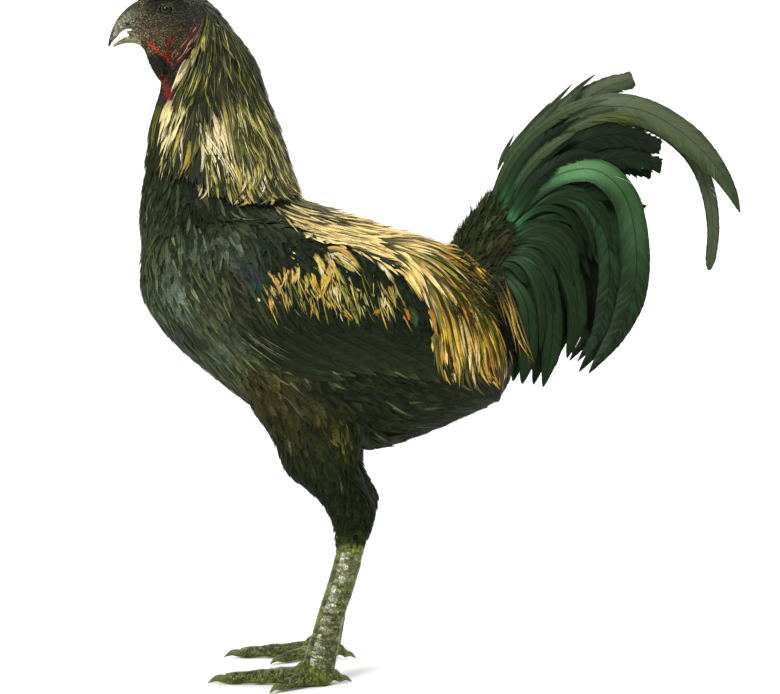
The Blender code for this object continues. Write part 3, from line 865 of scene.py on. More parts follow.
def feather_material(name, roughness=0.5, specular=0.25, metallic=0.0, painted_sheen=(0.03, 0.12, 0.08), painted_sheen_amount=0.15,
                     shaft=0.5, barb=0.35, clump=0.16, bump=0.35, coat=0.0, rim_from=0.62, fine=14.0):
    """Vane colour from Col and Rim. The map Barb is in centimetres: x across from the shaft, and y the place on
    the shaft that a barb starts from, so that its lines follow the barbs."""
    mat, tree, bsdf = new_material(name)
    n = Nodes(tree)
    vane = n.make_xyz(n.uv("Vane"))
    place = n.make_xyz(n.uv("Barb"))
    edge = n.math("ABSOLUTE", n.math("MULTIPLY_ADD", vane[0], 2.0, -1.0))
    side = n.math("ABSOLUTE", place[0])
    seed = n.attribute("seed", "Fac")
    lines = n.combine(n.math("MULTIPLY", place[1], fine), n.math("MULTIPLY", place[0], 1.6), n.math("MULTIPLY", seed, 37.0))
    barbs = n.noise(lines, 1.0, 3.0, 0.6)
    clumps = n.noise(n.combine(n.math("MULTIPLY", place[1], 2.2), n.math("MULTIPLY", place[0], 0.9), n.math("MULTIPLY", seed, 19.0)), 1.0, 2.0)
    rim_at = n.math("ADD", rim_from, n.math("MULTIPLY", n.math("SUBTRACT", barbs, 0.5), 0.5))
    rim = n.step(n.math("SUBTRACT", edge, rim_at), -0.08, 0.12)
    rim = n.math("MULTIPLY", rim, n.attribute("rimw", "Fac"))
    colour = n.mix(rim, n.attribute("Col"), n.attribute("Rim"))
    tone = n.step(barbs, 0.25, 0.75, 1.0 - barb, 1.0 + barb)
    tone = n.math("MULTIPLY", tone, n.step(clumps, 0.3, 0.7, 1.0 - clump, 1.0 + clump))
    # the shaft, a thin line down the middle
    shaft_line = n.step(side, 0.010, 0.040, 1.0, 0.0)
    tone = n.math("MULTIPLY", tone, n.math("SUBTRACT", 1.0, n.math("MULTIPLY", shaft_line, shaft)))
    colour = n.scaled(colour, tone)
    # painted sheen: a fixed green or teal tint mixed into the base colour over clumps of barbs, in place of the
    # feathers' iridescent reflection
    if painted_sheen_amount:
        amount = n.math("MULTIPLY", n.step(clumps, 0.35, 0.8), painted_sheen_amount)
        amount = n.math("MULTIPLY", amount, n.attribute("glossy", "Fac"))
        colour = n.mix(amount, colour, (*painted_sheen, 1.0))
    n.wire(colour, bsdf.inputs["Base Color"])
    rough = n.step(barbs, 0.2, 0.8, roughness + 0.12, roughness - 0.10)
    n.wire(rough, bsdf.inputs["Roughness"])
    bsdf.inputs["Specular IOR Level"].default_value = specular
    bsdf.inputs["Metallic"].default_value = metallic
    bsdf.inputs["Coat Weight"].default_value = coat
    bsdf.inputs["Coat Roughness"].default_value = 0.3
    height = n.math("ADD", n.math("MULTIPLY", barbs, 0.6), n.math("MULTIPLY", clumps, 0.5))
    height = n.math("SUBTRACT", height, n.math("MULTIPLY", shaft_line, -0.5))
    n.wire(n.bump(height, bump, 0.0006), bsdf.inputs["Normal"])
    return mat


def skin_material():
    mat, tree, bsdf = new_material("skin")
    n = Nodes(tree)
    place = n.make("ShaderNodeTexCoord").outputs["Object"]
    warp = n.make("ShaderNodeVectorMath", operation="MULTIPLY_ADD")
    n.wire(n.noise(place, 330.0, 2.0, out="Color"), warp.inputs[0])
    warp.inputs[1].default_value = (0.0014, 0.0014, 0.0014)
    n.wire(place, warp.inputs[2])
    drawn = n.make("ShaderNodeMapping")
    n.wire(warp.outputs[0], drawn.inputs["Vector"])
    drawn.inputs["Scale"].default_value = (0.66, 0.8, 1.0)
    edge = n.voronoi(drawn.outputs["Vector"], 430.0, "DISTANCE_TO_EDGE")
    fine = n.voronoi(place, 1100.0)
    fine2 = n.noise(place, 1400.0, 3.0)
    crease = n.noise(place, 420.0, 3.0, 0.65)
    face = n.attribute("face", "Fac")
    pebbles = n.math("MULTIPLY", n.step(edge, 0.02, 0.26, 0.36, 1.34), n.step(n.noise(place, 620.0, 3.0, 0.7), 0.36, 0.64, 0.66, 1.26))
    pebbles = n.math("ADD", n.math("MULTIPLY", n.math("SUBTRACT", pebbles, 1.0), face), 1.0)
    tone = n.math("MULTIPLY", n.step(fine, 0.0, 0.9, 1.15, 0.75), n.step(crease, 0.3, 0.7, 0.78, 1.2))
    speck = n.math("MULTIPLY", n.step(n.noise(place, 380.0, 4.0, 0.7), 0.40, 0.62, 0.55, 1.5), n.step(n.noise(place, 1100.0, 3.0, 0.7), 0.38, 0.60, 0.45, 1.55))
    speck = n.math("ADD", n.math("MULTIPLY", n.math("SUBTRACT", speck, 1.0), n.attribute("shank", "Fac")), 1.0)
    colour = n.scaled(n.attribute("Col"), n.math("MULTIPLY", n.math("MULTIPLY", tone, pebbles), speck))
    n.wire(colour, bsdf.inputs["Base Color"])
    n.wire(n.step(fine2, 0.3, 0.7, 0.40, 0.65), bsdf.inputs["Roughness"])
    bsdf.inputs["Specular IOR Level"].default_value = 0.09
    bsdf.inputs["Subsurface Weight"].default_value = 0.0
    height = n.math("ADD", n.math("MULTIPLY", n.step(edge, 0.0, 0.25), 0.9), n.math("MULTIPLY", crease, 0.8))
    n.wire(n.bump(height, 0.7, 0.0007), bsdf.inputs["Normal"])
    return mat


def scale_material():
    mat, tree, bsdf = new_material("leg_scale")
    n = Nodes(tree)
    place = n.make("ShaderNodeTexCoord").outputs["Object"]
    blot = n.noise(place, 380.0, 4.0, 0.7)
    cells = n.voronoi(place, 700.0, "DISTANCE_TO_EDGE")
    fine = n.noise(place, 1100.0, 3.0, 0.7)
    tone = n.math("MULTIPLY", n.step(blot, 0.40, 0.62, 0.55, 1.45), n.step(fine, 0.38, 0.60, 0.45, 1.5))
    colour = n.scaled(n.attribute("Col"), n.math("MULTIPLY", tone, n.step(cells, 0.02, 0.20, 0.45, 1.15)))
    n.wire(colour, bsdf.inputs["Base Color"])
    n.wire(n.step(fine, 0.3, 0.7, 0.14, 0.38), bsdf.inputs["Roughness"])
    bsdf.inputs["Specular IOR Level"].default_value = 0.28
    height = n.math("ADD", n.math("MULTIPLY", cells, 1.5), n.math("MULTIPLY", fine, 0.6))
    n.wire(n.bump(height, 0.8, 0.0008), bsdf.inputs["Normal"])
    return mat


def horn_material():
    mat, tree, bsdf = new_material("horn")
    n = Nodes(tree)
    place = n.make("ShaderNodeTexCoord").outputs["Object"]
    streak = n.make("ShaderNodeMapping")
    n.wire(place, streak.inputs["Vector"])
    streak.inputs["Scale"].default_value = (1.0, 1.0, 2.2)
    grain = n.noise(streak.outputs["Vector"], 430.0, 5.0, 0.7)
    cells = n.voronoi(streak.outputs["Vector"], 620.0, "DISTANCE_TO_EDGE")
    fine = n.noise(place, 1700.0, 2.0)
    tone = n.math("MULTIPLY", n.step(grain, 0.32, 0.68, 0.45, 1.55), n.step(cells, 0.0, 0.16, 0.70, 1.10))
    n.wire(n.scaled(n.attribute("Col"), tone), bsdf.inputs["Base Color"])
    n.wire(n.step(fine, 0.2, 0.8, 0.30, 0.5), bsdf.inputs["Roughness"])
    bsdf.inputs["Specular IOR Level"].default_value = 0.20
    n.wire(n.bump(n.math("ADD", grain, n.math("MULTIPLY", cells, 0.8)), 0.5, 0.0006), bsdf.inputs["Normal"])
    return mat


def eye_material():
    mat, tree, bsdf = new_material("eye_surface")
    n = Nodes(tree)
    place = n.attribute("disc", "Fac")
    ring = n.noise(n.make("ShaderNodeTexCoord").outputs["Object"], 1500.0, 3.0)
    iris = n.mix(n.step(ring, 0.3, 0.7), (0.030, 0.036, 0.015, 1), (0.008, 0.012, 0.005, 1))
    pupil = n.step(place, 0.40, 0.46)
    colour = n.mix(pupil, (0.001, 0.001, 0.001, 1), iris)
    colour = n.mix(n.step(place, 0.80, 0.88), colour, (0.003, 0.003, 0.003, 1))
    n.wire(colour, bsdf.inputs["Base Color"])
    bsdf.inputs["Roughness"].default_value = 0.16
    bsdf.inputs["Specular IOR Level"].default_value = 0.16
    bsdf.inputs["Coat Weight"].default_value = 0.10
    bsdf.inputs["Coat Roughness"].default_value = 0.05
    return mat


SKIN_LOOK = skin_material()
SCALE_LOOK = scale_material()
HORN_LOOK = horn_material()
EYE_LOOK = eye_material()
BODY_LOOK = feather_material("body_feather", 0.60, 0.05, painted_sheen=(0.016, 0.028, 0.016), painted_sheen_amount=0.5, barb=0.55, shaft=0.25)
HACKLE_LOOK = feather_material("hackle_feather", 0.50, 0.10, painted_sheen_amount=0.0, barb=0.30, shaft=0.25, bump=0.30, rim_from=0.64)
WING_LOOK = feather_material("wing_cover_feather", 0.55, 0.05, painted_sheen=(0.010, 0.018, 0.014), painted_sheen_amount=0.5, barb=0.45)
GREEN_LOOK = feather_material("green_tail_feather", 0.42, 0.10, painted_sheen=(0.030, 0.080, 0.030), painted_sheen_amount=0.35, barb=0.15, clump=0.05, shaft=0.75, bump=0.18, rim_from=0.7)
NIGHT_LOOK = feather_material("dark_tail_feather", 0.50, 0.05, painted_sheen=(0.012, 0.034, 0.014), painted_sheen_amount=0.35, barb=0.18, clump=0.05, shaft=0.5, bump=0.12, rim_from=0.75)
SAGE_LOOK = feather_material("grey_tail_feather", 0.52, 0.10, painted_sheen=(0.075, 0.105, 0.045), painted_sheen_amount=0.30, barb=0.18, clump=0.05, shaft=0.8, bump=0.2, rim_from=0.7)

finish_skin(skin_mesh)
SKIN_TREE = tree_of(skin_mesh)
skin = link("skin", skin_mesh, SKIN_LOOK)
flesh = ["head", "neck", "trunk", "saddle", "tail_base", "comb"]
for name in SIDES:
    flesh += [f"{kind}_{name}" for kind in ("wing", "thigh", "shank", "foot", "wattle", "earlobe")]
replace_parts(skin, *flesh)


VIEW_X, VIEW_Z = (SIGHT_U - ORIGIN_U) * UNIT, (FLOOR_V - SIGHT_V) * UNIT


def on_skin(u, v, side):
    """Where the line of sight through a place of the layout meets the skin."""
    start = Vector((VIEW_X, -side * VIEW_DISTANCE, VIEW_Z))
    far = Vector(at(u, v, 0) * np.array([1, side, 1]))
    place, normal, _, _ = SKIN_TREE.ray_cast(start, (far - start).normalized())
    if place is None:
        place, normal, _, _ = SKIN_TREE.find_nearest(far)
    return np.array(place), np.array(normal)


EAR_FOLDS = [
    ([(202.5, 22), (198, 31), (191, 42), (184, 52), (178.5, 60), (173.5, 68)], 0.00050),
    ([(200, 23), (191, 34), (184.5, 44), (177.5, 53), (172.5, 61), (172.5, 68)], 0.00050),
    ([(200, 31), (193, 44), (186, 54), (179, 62)], 0.00026),
    ([(176, 50), (172, 56), (170.5, 62), (172, 68), (175, 69)], 0.00034),
    ([(197, 33), (190, 44), (184, 52)], 0.00024),
]
for name, side in SIDES.items():
    parts = []
    for points, thick in EAR_FOLDS:
        path = smooth([(u, v) for u, v in points], 26)
        beat = np.linspace(0, 1, 26)
        wave = 0.9 * np.sin(beat * 15 + 9000 * thick) * np.sin(math.pi * beat)
        path = path + np.outer(wave, [0.8, 0.6])
        line = []
        for u, v in path:
            place, normal = on_skin(u, v, side)
            line.append(place + normal * thick * 0.25)
        line = np.array(line)
        line[1:-1] = 0.5 * line[1:-1] + 0.25 * (line[:-2] + line[2:])
        share = np.linspace(0, 1, 26)
        parts.append(tube(line, thick * (0.35 + 0.65 * np.sin(math.pi * share) ** 0.5), 8, 60))
    me = joined(parts, "ear_piece")
    me.shade_smooth()
    point_values(me, "face", np.zeros(len(me.vertices)))

    def ear_colour(co):
        blot = smoothstep(-0.25, 0.35, sum(np.sin(co @ d * 520 + k) for k, d in enumerate([[1, 0.6, 0.2], [-0.4, 0.3, 1.1], [0.8, -0.2, -0.9]])) / 3)
        return mix(srgb(84, 46, 38), srgb(172, 130, 112), blot)

    seen = np.empty(len(me.vertices) * 3, np.float32)
    me.vertices.foreach_get("co", seen)
    point_colours(me, "Col", ear_colour(seen.reshape(-1, 3).astype(float)))
    link("ear_folds_" + name, me, SKIN_LOOK)


# ---- the lie of the coat ------------------------------------------------------------------------
FLOW = np.array([
    # u, v, du, dv
    (212, 5, 0.45, 0.89), (240, 40, 0.55, 0.83), (262, 90, 0.30, 0.95), (284, 150, 0.25, 0.97), (297, 190, 0.40, 0.92),
    (212, 60, 0.10, 1.00), (232, 90, 0.32, 0.95), (215, 130, 0.22, 0.97), (250, 140, 0.42, 0.91), (195, 90, -0.12, 0.99),
    (180, 100, -0.25, 0.97), (165, 140, -0.22, 0.98), (188, 150, -0.08, 1.0), (154, 170, -0.05, 1.0), (230, 185, 0.22, 0.97),
    (265, 180, 0.30, 0.95), (200, 30, 0.0, 1.0),
    (160, 215, 0.02, 1.0), (160, 260, 0.12, 0.99), (180, 310, 0.50, 0.87), (215, 350, 0.74, 0.67), (255, 390, 0.74, 0.67),
    (200, 250, 0.30, 0.95), (230, 300, 0.55, 0.83), (250, 220, 0.6, 0.8),
    (300, 205, 0.90, 0.44), (350, 222, 0.93, 0.36), (400, 240, 0.85, 0.52), (440, 265, 0.66, 0.75), (470, 300, 0.42, 0.91),
    (495, 335, 0.25, 0.97), (450, 330, 0.12, 0.99), (420, 290, 0.42, 0.91), (435, 350, 0.05, 1.0), (475, 360, 0.12, 0.99),
    (270, 250, 0.42, 0.91), (300, 290, 0.30, 0.95), (350, 285, 0.42, 0.91), (390, 300, 0.50, 0.87), (320, 330, 0.75, 0.66),
    (380, 345, 0.88, 0.48), (250, 330, 0.78, 0.62), (290, 360, 0.80, 0.60), (350, 385, 0.90, 0.44), (420, 395, 0.95, 0.30),
    (300, 400, 0.62, 0.79), (290, 430, 0.42, 0.91), (330, 430, 0.45, 0.89), (355, 440, 0.25, 0.97), (400, 440, 0.97, 0.10),
    (440, 425, 0.93, 0.25), (480, 400, 0.75, 0.66), (505, 370, 0.45, 0.89),
    (310, 470, 0.32, 0.95), (350, 480, 0.10, 0.99), (345, 510, 0.02, 1.0), (350, 545, -0.15, 0.99),
    (455, 240, 0.35, -0.94), (475, 215, 0.40, -0.92), (495, 195, 0.45, -0.89), (490, 250, 0.62, -0.78), (510, 230, 0.75, -0.66),
    (520, 270, 0.90, -0.1), (505, 300, 0.85, 0.5), (530, 240, 0.95, -0.3), (500, 330, 0.5, 0.87),
])


CAPE_FLOW = np.vstack([
    FLOW[(FLOW[:, 3] > 0.2) & (FLOW[:, 0] < 508)],
    [(455, 256, 0.72, 0.69), (472, 272, 0.62, 0.78), (488, 292, 0.50, 0.87), (500, 315, 0.36, 0.93), (508, 340, 0.26, 0.97), (515, 300, 0.45, 0.89)],
])


def flow_at(p, normals, table=FLOW):
    """Unit lie of the coat at world points, in the surface."""
    u, v = layout_of(p)
    d2 = (u[:, None] - table[:, 0]) ** 2 + (v[:, None] - table[:, 1]) ** 2
    w = 1.0 / (d2 + 60.0) ** 1.7
    d = (w[:, :, None] * table[:, 2:]).sum(1)
    d = unit(d)
    lie = np.stack([d[:, 0], np.zeros(len(d)), -d[:, 1]], 1)
    lie -= (lie * normals).sum(1, keepdims=True) * normals
    return unit(lie)


def cape_flow(p, normals):
    return flow_at(p, normals, CAPE_FLOW)


def nearest(points, tree=None):
    tree = tree or coat_tree
    place = np.empty_like(points)
    normal = np.empty_like(points)
    for i, p in enumerate(points):
        a, b, _, _ = tree.find_nearest(Vector(p))
        place[i], normal[i] = a, b
    return place, normal


# coat points to draw roots from
co = np.empty(len(coat_mesh.vertices) * 3, np.float32)
coat_mesh.vertices.foreach_get("co", co)
COAT_POINTS = co.reshape(-1, 3).astype(float)
no = np.empty(len(coat_mesh.vertices) * 3, np.float32)
coat_mesh.vertices.foreach_get("normal", no)
COAT_NORMALS = no.reshape(-1, 3).astype(float)


def scattered(mask, spacing, rng, tries=4):
    """Roots on the coat where mask holds, no closer than spacing (metres, one number per coat point)."""
    found = np.nonzero(mask)[0]
    rng.shuffle(found)
    jitter = rng.normal(0, 0.0012, (len(found), 3))
    points = COAT_POINTS[found] + jitter
    grid, kept = {}, []
    cell = max(float(spacing[found].max()), 1e-4) if len(found) else 1.0
    keys = np.floor(points / cell).astype(int)
    for i in range(len(found)):
        key = tuple(keys[i])
        p, r = points[i], spacing[found[i]]
        near = False
        for a in (-1, 0, 1):
            for b in (-1, 0, 1):
                for c in (-1, 0, 1):
                    for q in grid.get((key[0] + a, key[1] + b, key[2] + c), ()):
                        if (p[0] - q[0]) ** 2 + (p[1] - q[1]) ** 2 + (p[2] - q[2]) ** 2 < r * r:
                            near = True
                            break
                    if near:
                        break
                if near:
                    break
            if near:
                break
        if not near:
            grid.setdefault(key, []).append(p)
            kept.append(i)
    return nearest(points[kept])


# ---- vanes --------------------------------------------------------------------------------------
ROUND = ([0, 0.12, 0.35, 0.62, 0.80, 0.92, 1.0], [0.30, 0.62, 0.92, 1.0, 0.86, 0.52, 0.06])
LANCE = ([0, 0.12, 0.38, 0.62, 0.85, 1.0], [0.42, 0.80, 1.0, 0.80, 0.42, 0.03])
STRAP = ([0, 0.10, 0.30, 0.75, 0.92, 1.0], [0.40, 0.75, 1.0, 0.95, 0.62, 0.10])
FLUFF = ([0, 0.2, 0.5, 0.8, 1.0], [0.4, 1.0, 0.9, 0.55, 0.05])


def march(roots, normals, length, steps, rng, yaw=0.12, stiff=3, flow=flow_at, turn=None):
    """Shaft lines over the coat: n x steps points, with the coat's normal at each."""
    n = len(roots)
    line = np.empty((n, steps, 3))
    ups = np.empty((n, steps, 3))
    line[:, 0], ups[:, 0] = roots, normals
    angle = rng.normal(0, yaw, n)
    step = length / (steps - 1)
    for i in range(1, steps):
        d = flow(line[:, i - 1], ups[:, i - 1])
        side = np.cross(ups[:, i - 1], d)
        a = angle if turn is None else angle + turn * (i / (steps - 1)) ** 2
        d = unit(d * np.cos(a)[:, None] + side * np.sin(a)[:, None])
        line[:, i], ups[:, i] = nearest(line[:, i - 1] + d * step[:, None])
    for _ in range(stiff):
        line[:, 1:-1] = 0.5 * line[:, 1:-1] + 0.25 * (line[:, :-2] + line[:, 2:])
        ups[:, 1:-1] = 0.5 * ups[:, 1:-1] + 0.25 * (ups[:, :-2] + ups[:, 2:])
    return line, unit(ups)


def vanes(name, line, ups, width, profile, across, colour, rim, rimw, look, rng, depth, lift,
          camber=0.25, sweep=0.5, ragged=0.06, tatter=0.12, glossy=None, curl=0.0, root_places=None, roll=0.10):
    """Feathers as bent sheets. line, ups: n x steps x 3. width, depth, lift: metres, one per feather. colour
    and rim: n x steps x 3. Roots sink by depth and tips stand proud by lift; tatter is how far the columns of
    a vane end apart."""
    n, steps, _ = line.shape
    s = np.linspace(0, 1, steps)
    curl = np.broadcast_to(np.asarray(curl, float), (n,))
    height = -depth[:, None] * (1 - s) ** 1.4 + lift[:, None] * s**1.6 + curl[:, None] * s**3
    line = line + ups * height[..., None]
    along = unit(np.gradient(line, axis=1))
    side = unit(np.cross(ups, along))
    up = np.cross(along, side)
    turn = rng.normal(0, roll, n)[:, None, None]
    side, up = side * np.cos(turn) + up * np.sin(turn), up * np.cos(turn) - side * np.sin(turn)
    w = width[:, None] * np.interp(s, *profile)[None, :]
    t = np.linspace(-1, 1, across)
    length = np.linalg.norm(np.diff(line, axis=1), axis=2).sum(1)
    pace = length / (steps - 1)
    rag = 1 + ragged * rng.normal(0, 1, (n, 2, 1))
    ends = 1 - tatter * rng.random((n, across)) * (0.3 + 0.7 * np.abs(t))
    verts = np.empty((n, steps, across, 3))
    barb = np.empty((n, steps, across, 2))
    for j, tj in enumerate(t):
        out = tj * w * (rag[:, 0] if tj < 0 else rag[:, 1])
        # this column's own places along the shaft
        f = s[None, :] * ends[:, j][:, None] * (steps - 1)
        i0 = np.minimum(f.astype(int), steps - 2)
        g = (f - i0)[..., None]
        rows = np.arange(n)[:, None]

        def pick(a, rows=rows, i0=i0, g=g):
            return a[rows, i0] * (1 - g) + a[rows, i0 + 1] * g

        ahead = np.abs(out) * sweep * (1 - s) ** 0.5
        verts[:, :, j] = (
            pick(line) + pick(side) * out[..., None] + pick(along) * ahead[..., None]
            - pick(up) * (camber * (tj**2) * w)[..., None]
        )
        barb[:, :, j, 0] = out * 100
        barb[:, :, j, 1] = f * pace[:, None] * 100
    idx = np.arange(n * steps * across).reshape(n, steps, across)
    quads = np.stack([idx[:, :-1, :-1], idx[:, :-1, 1:], idx[:, 1:, 1:], idx[:, 1:, :-1]], -1).reshape(-1, 4)
    me = quick_mesh(name, verts.reshape(-1, 3), quads)
    vane = np.empty((n, steps, across, 2))
    vane[..., 0] = (t[None, None, :] + 1) / 2
    vane[..., 1] = s[None, :, None]
    if root_places is None:
        root_places = box_places(line[:, 0], ups[:, 0])
    bake = root_places[:, None, None, :] + (vane - 0.5) * 0.003
    loop_uv(me, "OFBake", bake.reshape(-1, 2))
    loop_uv(me, "Vane", vane.reshape(-1, 2))
    loop_uv(me, "Barb", barb.reshape(-1, 2))
    shape = (n, steps, across, 3)
    point_colours(me, "Col", np.broadcast_to(colour[:, :, None, :], shape).reshape(-1, 3))
    point_colours(me, "Rim", np.broadcast_to(rim[:, :, None, :], shape).reshape(-1, 3))
    point_values(me, "rimw", np.broadcast_to(np.broadcast_to(rimw, (n, steps))[:, :, None], shape[:3]).reshape(-1))
    seed = rng.random(n)
    point_values(me, "seed", np.broadcast_to(seed[:, None, None], shape[:3]).reshape(-1))
    g = np.ones(n) if glossy is None else glossy
    point_values(me, "glossy", np.broadcast_to(g[:, None, None], shape[:3]).reshape(-1))
    made = link(name, me, look)
    print(name, n, "feathers", len(quads) * 2, "triangles")
    return made


# ---- regions of the coat ------------------------------------------------------------------------
U, V = layout_of(COAT_POINTS)
Y = np.abs(COAT_POINTS[:, 1])
# front edge of the hackles: bare skin lies ahead of it
EDGE_V = np.array([-30, 0, 10, 24, 50, 72, 88, 95, 99, 102])
EDGE_U = np.array([196, 203, 203, 204, 196, 178, 173, 170, 161, 120])


def bare_at(u, v):
    return (u < np.interp(v, EDGE_V, EDGE_U)) & (v < 103)


def hem_at(u):
    """Where the cape of neck hackles ends, by u."""
    return np.interp(u, [140, 155, 175, 200, 235, 280, 300, 320], [150, 168, 178, 182, 206, 206, 196, 190])


def above_back(u):
    return np.interp(u, [290, 300, 330, 364, 400, 436, 450, 470, 490, 505], [185, 198, 208, 218, 232, 246, 254, 275, 304, 330])


TAIL_TOP = ((U > 446) & (V < 262 + (U - 452) * 0.9) & (V < 300)) | (U > 512)
NECKISH = (V < hem_at(U) - 2) & (U < 318) & ~((U > 296) & (V > 188))
LEG = (V > 398) & (U < 384) & (Y > 0.018)
WING_TOP = ([186, 208, 238, 284, 334, 384, 424, 452, 474], [243, 229, 222, 225, 238, 258, 284, 313, 340])
WING_LOW = ([186, 213, 240, 280, 325, 375, 420, 452, 474], [262, 300, 334, 356, 372, 378, 382, 378, 362])
WINGISH = (Y > 0.060) & (U > 186) & (U < 474) & (V > np.interp(U, *WING_TOP)) & (V < np.interp(U, *WING_LOW))
# the golden cape of back and saddle: its root zone, its lower border and its hem
CAPE_LOW = ([280, 300, 320, 345, 380, 405, 420, 430, 445, 470, 500], [219, 232, 238, 241, 258, 268, 285, 318, 340, 352, 350])
CAPE_HEM = ([276, 286, 300, 320, 345, 380, 405, 417, 425, 433, 440, 452, 475, 500, 512], [217, 224, 236, 242, 247, 264, 278, 300, 322, 352, 374, 376, 392, 382, 372])
CAPE = (U > 276) & (U < 508) & ~NECKISH & (V > above_back(U) - 14) & (V < np.interp(U, *CAPE_LOW)) & ~((U > 440) & (V < above_back(U) + 6)) & ~((Y < 0.016) & (U > 492))


def body_coat(name, mask, spacing_mm, length_mm, width_mm, seed, look, steps=8, across=5, palette=None,
              yaw=0.14, depth=0.0034, lift=0.0007, sweep=0.8, ragged=0.06, tatter=0.22, profile=ROUND, camber=0.20,
              curl=0.0, roll=0.12):
    rng = np.random.default_rng(seed)
    spacing = np.zeros(len(U)) + (spacing_mm(U, V) if callable(spacing_mm) else spacing_mm) / 1000
    roots, normals = scattered(mask, spacing, rng)
    n = len(roots)
    u, v = layout_of(roots)
    length = (length_mm(u, v) if callable(length_mm) else np.full(n, length_mm)) / 1000 * rng.uniform(0.8, 1.2, n)
    width = (width_mm(u, v) if callable(width_mm) else np.full(n, width_mm)) / 2000 * rng.uniform(0.8, 1.2, n)
    line, ups = march(roots, normals, length, steps, rng, yaw=yaw, stiff=1)
    u, v = layout_of(line.reshape(-1, 3))
    u, v = u.reshape(n, steps), v.reshape(n, steps)
    col, rim, rimw, glossy = palette(u, v, line, rng)
    curls = np.zeros(n) if not curl else rng.normal(curl, abs(curl), n)
    return vanes(
        name, line, ups, width, profile, across, col, rim, rimw, look, rng,
        np.full(n, depth) * rng.uniform(0.8, 1.2, n), np.full(n, lift) * rng.uniform(0.2, 1.8, n),
        camber=camber, sweep=sweep, ragged=ragged, tatter=tatter, glossy=glossy, curl=curls, roll=roll,
    )


def patch(um, vm, u0, v0, a, b):
    return np.exp(-(((um - u0) / a) ** 2 + ((vm - v0) / b) ** 2))


def dark_palette(u, v, line, rng):
    """Breast, flank, belly and thigh: black, olive and brown, with a few cool painted highlights and painted shade
    underneath.
    """
    n, steps = u.shape
    um, vm = u.mean(1), v.mean(1)
    base = mix(srgb(20, 25, 11), srgb(34, 38, 20), rng.random(n) * 0.9)
    front = smoothstep(300, 190, um + 0.35 * (vm - 260)) * smoothstep(205, 250, vm)
    base = mix(base, srgb(66, 74, 48), front * rng.uniform(0.0, 0.9, n) ** 1.3)
    base = mix(base, srgb(76, 72, 54), patch(um, vm, 225, 300, 34, 40) * rng.uniform(0.0, 0.7, n))
    base = mix(base, srgb(70, 78, 44), patch(um, vm, 230, 365, 46, 30) * rng.uniform(0.0, 0.9, n))
    base = mix(base, srgb(62, 50, 24), patch(um, vm, 270, 385, 40, 34) * rng.uniform(0.1, 0.8, n))
    # painted highlights: grey-green, blue-green and violet patches of sheen on the breast and flank
    base = mix(base, srgb(88, 104, 92), patch(um, vm, 172, 300, 20, 34) * rng.uniform(0, 1, n) ** 2)
    base = mix(base, srgb(84, 100, 84), patch(um, vm, 216, 350, 26, 18) * rng.uniform(0, 1, n) ** 2.5)
    base = mix(base, srgb(80, 96, 88), patch(um, vm, 228, 246, 34, 12) * rng.uniform(0, 1, n) ** 2)
    base = mix(base, srgb(58, 56, 84), patch(um, vm, 252, 274, 10, 8) * rng.uniform(0, 1, n))
    base = mix(base, srgb(54, 62, 40), patch(um, vm, 150, 240, 14, 60) * rng.uniform(0, 1, n))
    base = mix(base, srgb(16, 20, 8), np.clip(patch(um, vm, 196, 222, 22, 22) + patch(um, vm, 168, 322, 12, 10) + patch(um, vm, 188, 340, 12, 9), 0, 1) * 0.8)
    # painted shade: darker between the legs, low on the belly and under the tail, where the body is underneath
    inside = smoothstep(0.052, 0.026, np.abs(line[:, 0, 1]))
    underside_shade = inside * smoothstep(372, 402, vm) * smoothstep(290, 350, um) + smoothstep(488, 508, um) * smoothstep(300, 330, vm)
    base = base * (1 - 0.62 * np.clip(underside_shade, 0, 1))[:, None]
    s = np.linspace(0, 1, steps)
    col = base[:, None, :] * rng.uniform(0.55, 1.35, (n, 1, 1)) * (0.72 + 0.36 * s)[None, :, None]
    rim = col * rng.uniform(0.8, 1.8, (n, 1, 1))
    return col, rim, 0.7, rng.uniform(0.1, 1.0, n)


def thigh_palette(u, v, line, rng):
    n = len(u)
    um, vm = u.mean(1), v.mean(1)
    base = mix(srgb(19, 26, 9), srgb(36, 40, 15), rng.random(n) ** 1.5)
    warm = smoothstep(480, 405, vm) * smoothstep(372, 290, um) * rng.uniform(0.0, 1, n)
    base = mix(base, srgb(64, 56, 24), warm * 0.75)
    base = mix(base, srgb(92, 84, 34), patch(um, vm, 338, 440, 12, 18) * (rng.random(n) < 0.4) * 0.8)
    base = mix(base, srgb(17, 26, 10), smoothstep(440, 500, vm) * 0.7)
    base = mix(base, srgb(62, 74, 26), smoothstep(522, 545, vm) * rng.uniform(0, 0.7, n))
    s = np.linspace(0, 1, u.shape[1])
    col = base[:, None, :] * rng.uniform(0.48, 1.15, (n, 1, 1)) * (0.75 + 0.35 * s)[None, :, None]
    return col, col * rng.uniform(0.9, 1.7, (n, 1, 1)), 0.6, rng.uniform(0, 0.4, n)


SOFT = ([0, 0.15, 0.45, 0.72, 0.88, 1.0], [0.35, 0.75, 1.0, 0.92, 0.62, 0.22])
dark_mask = ~NECKISH & ~TAIL_TOP & ~bare_at(U, V) & ~LEG & ~CAPE & (V > 150)
body_coat(
    "coat_body", dark_mask & ~WINGISH, lambda u, v: np.where(v > 400, 5.4, 5.2) + 0 * u,
    lambda u, v: np.interp(v, [200, 300, 440], [27, 32, 36]), 9.5, 11,
    BODY_LOOK, palette=dark_palette, steps=6, profile=SOFT,
)
body_coat(
    "coat_thigh", LEG & (V < 548), lambda u, v: np.interp(v, [398, 470, 545], [5.0, 4.2, 2.9]),
    lambda u, v: np.interp(v, [398, 470, 520, 548], [28, 20, 13, 8]), lambda u, v: np.interp(v, [398, 470, 548], [8, 6, 3.6]), 12,
    BODY_LOOK, palette=thigh_palette, steps=6, depth=0.0026, lift=0.0011, yaw=0.22, profile=SOFT, tatter=0.3,
)


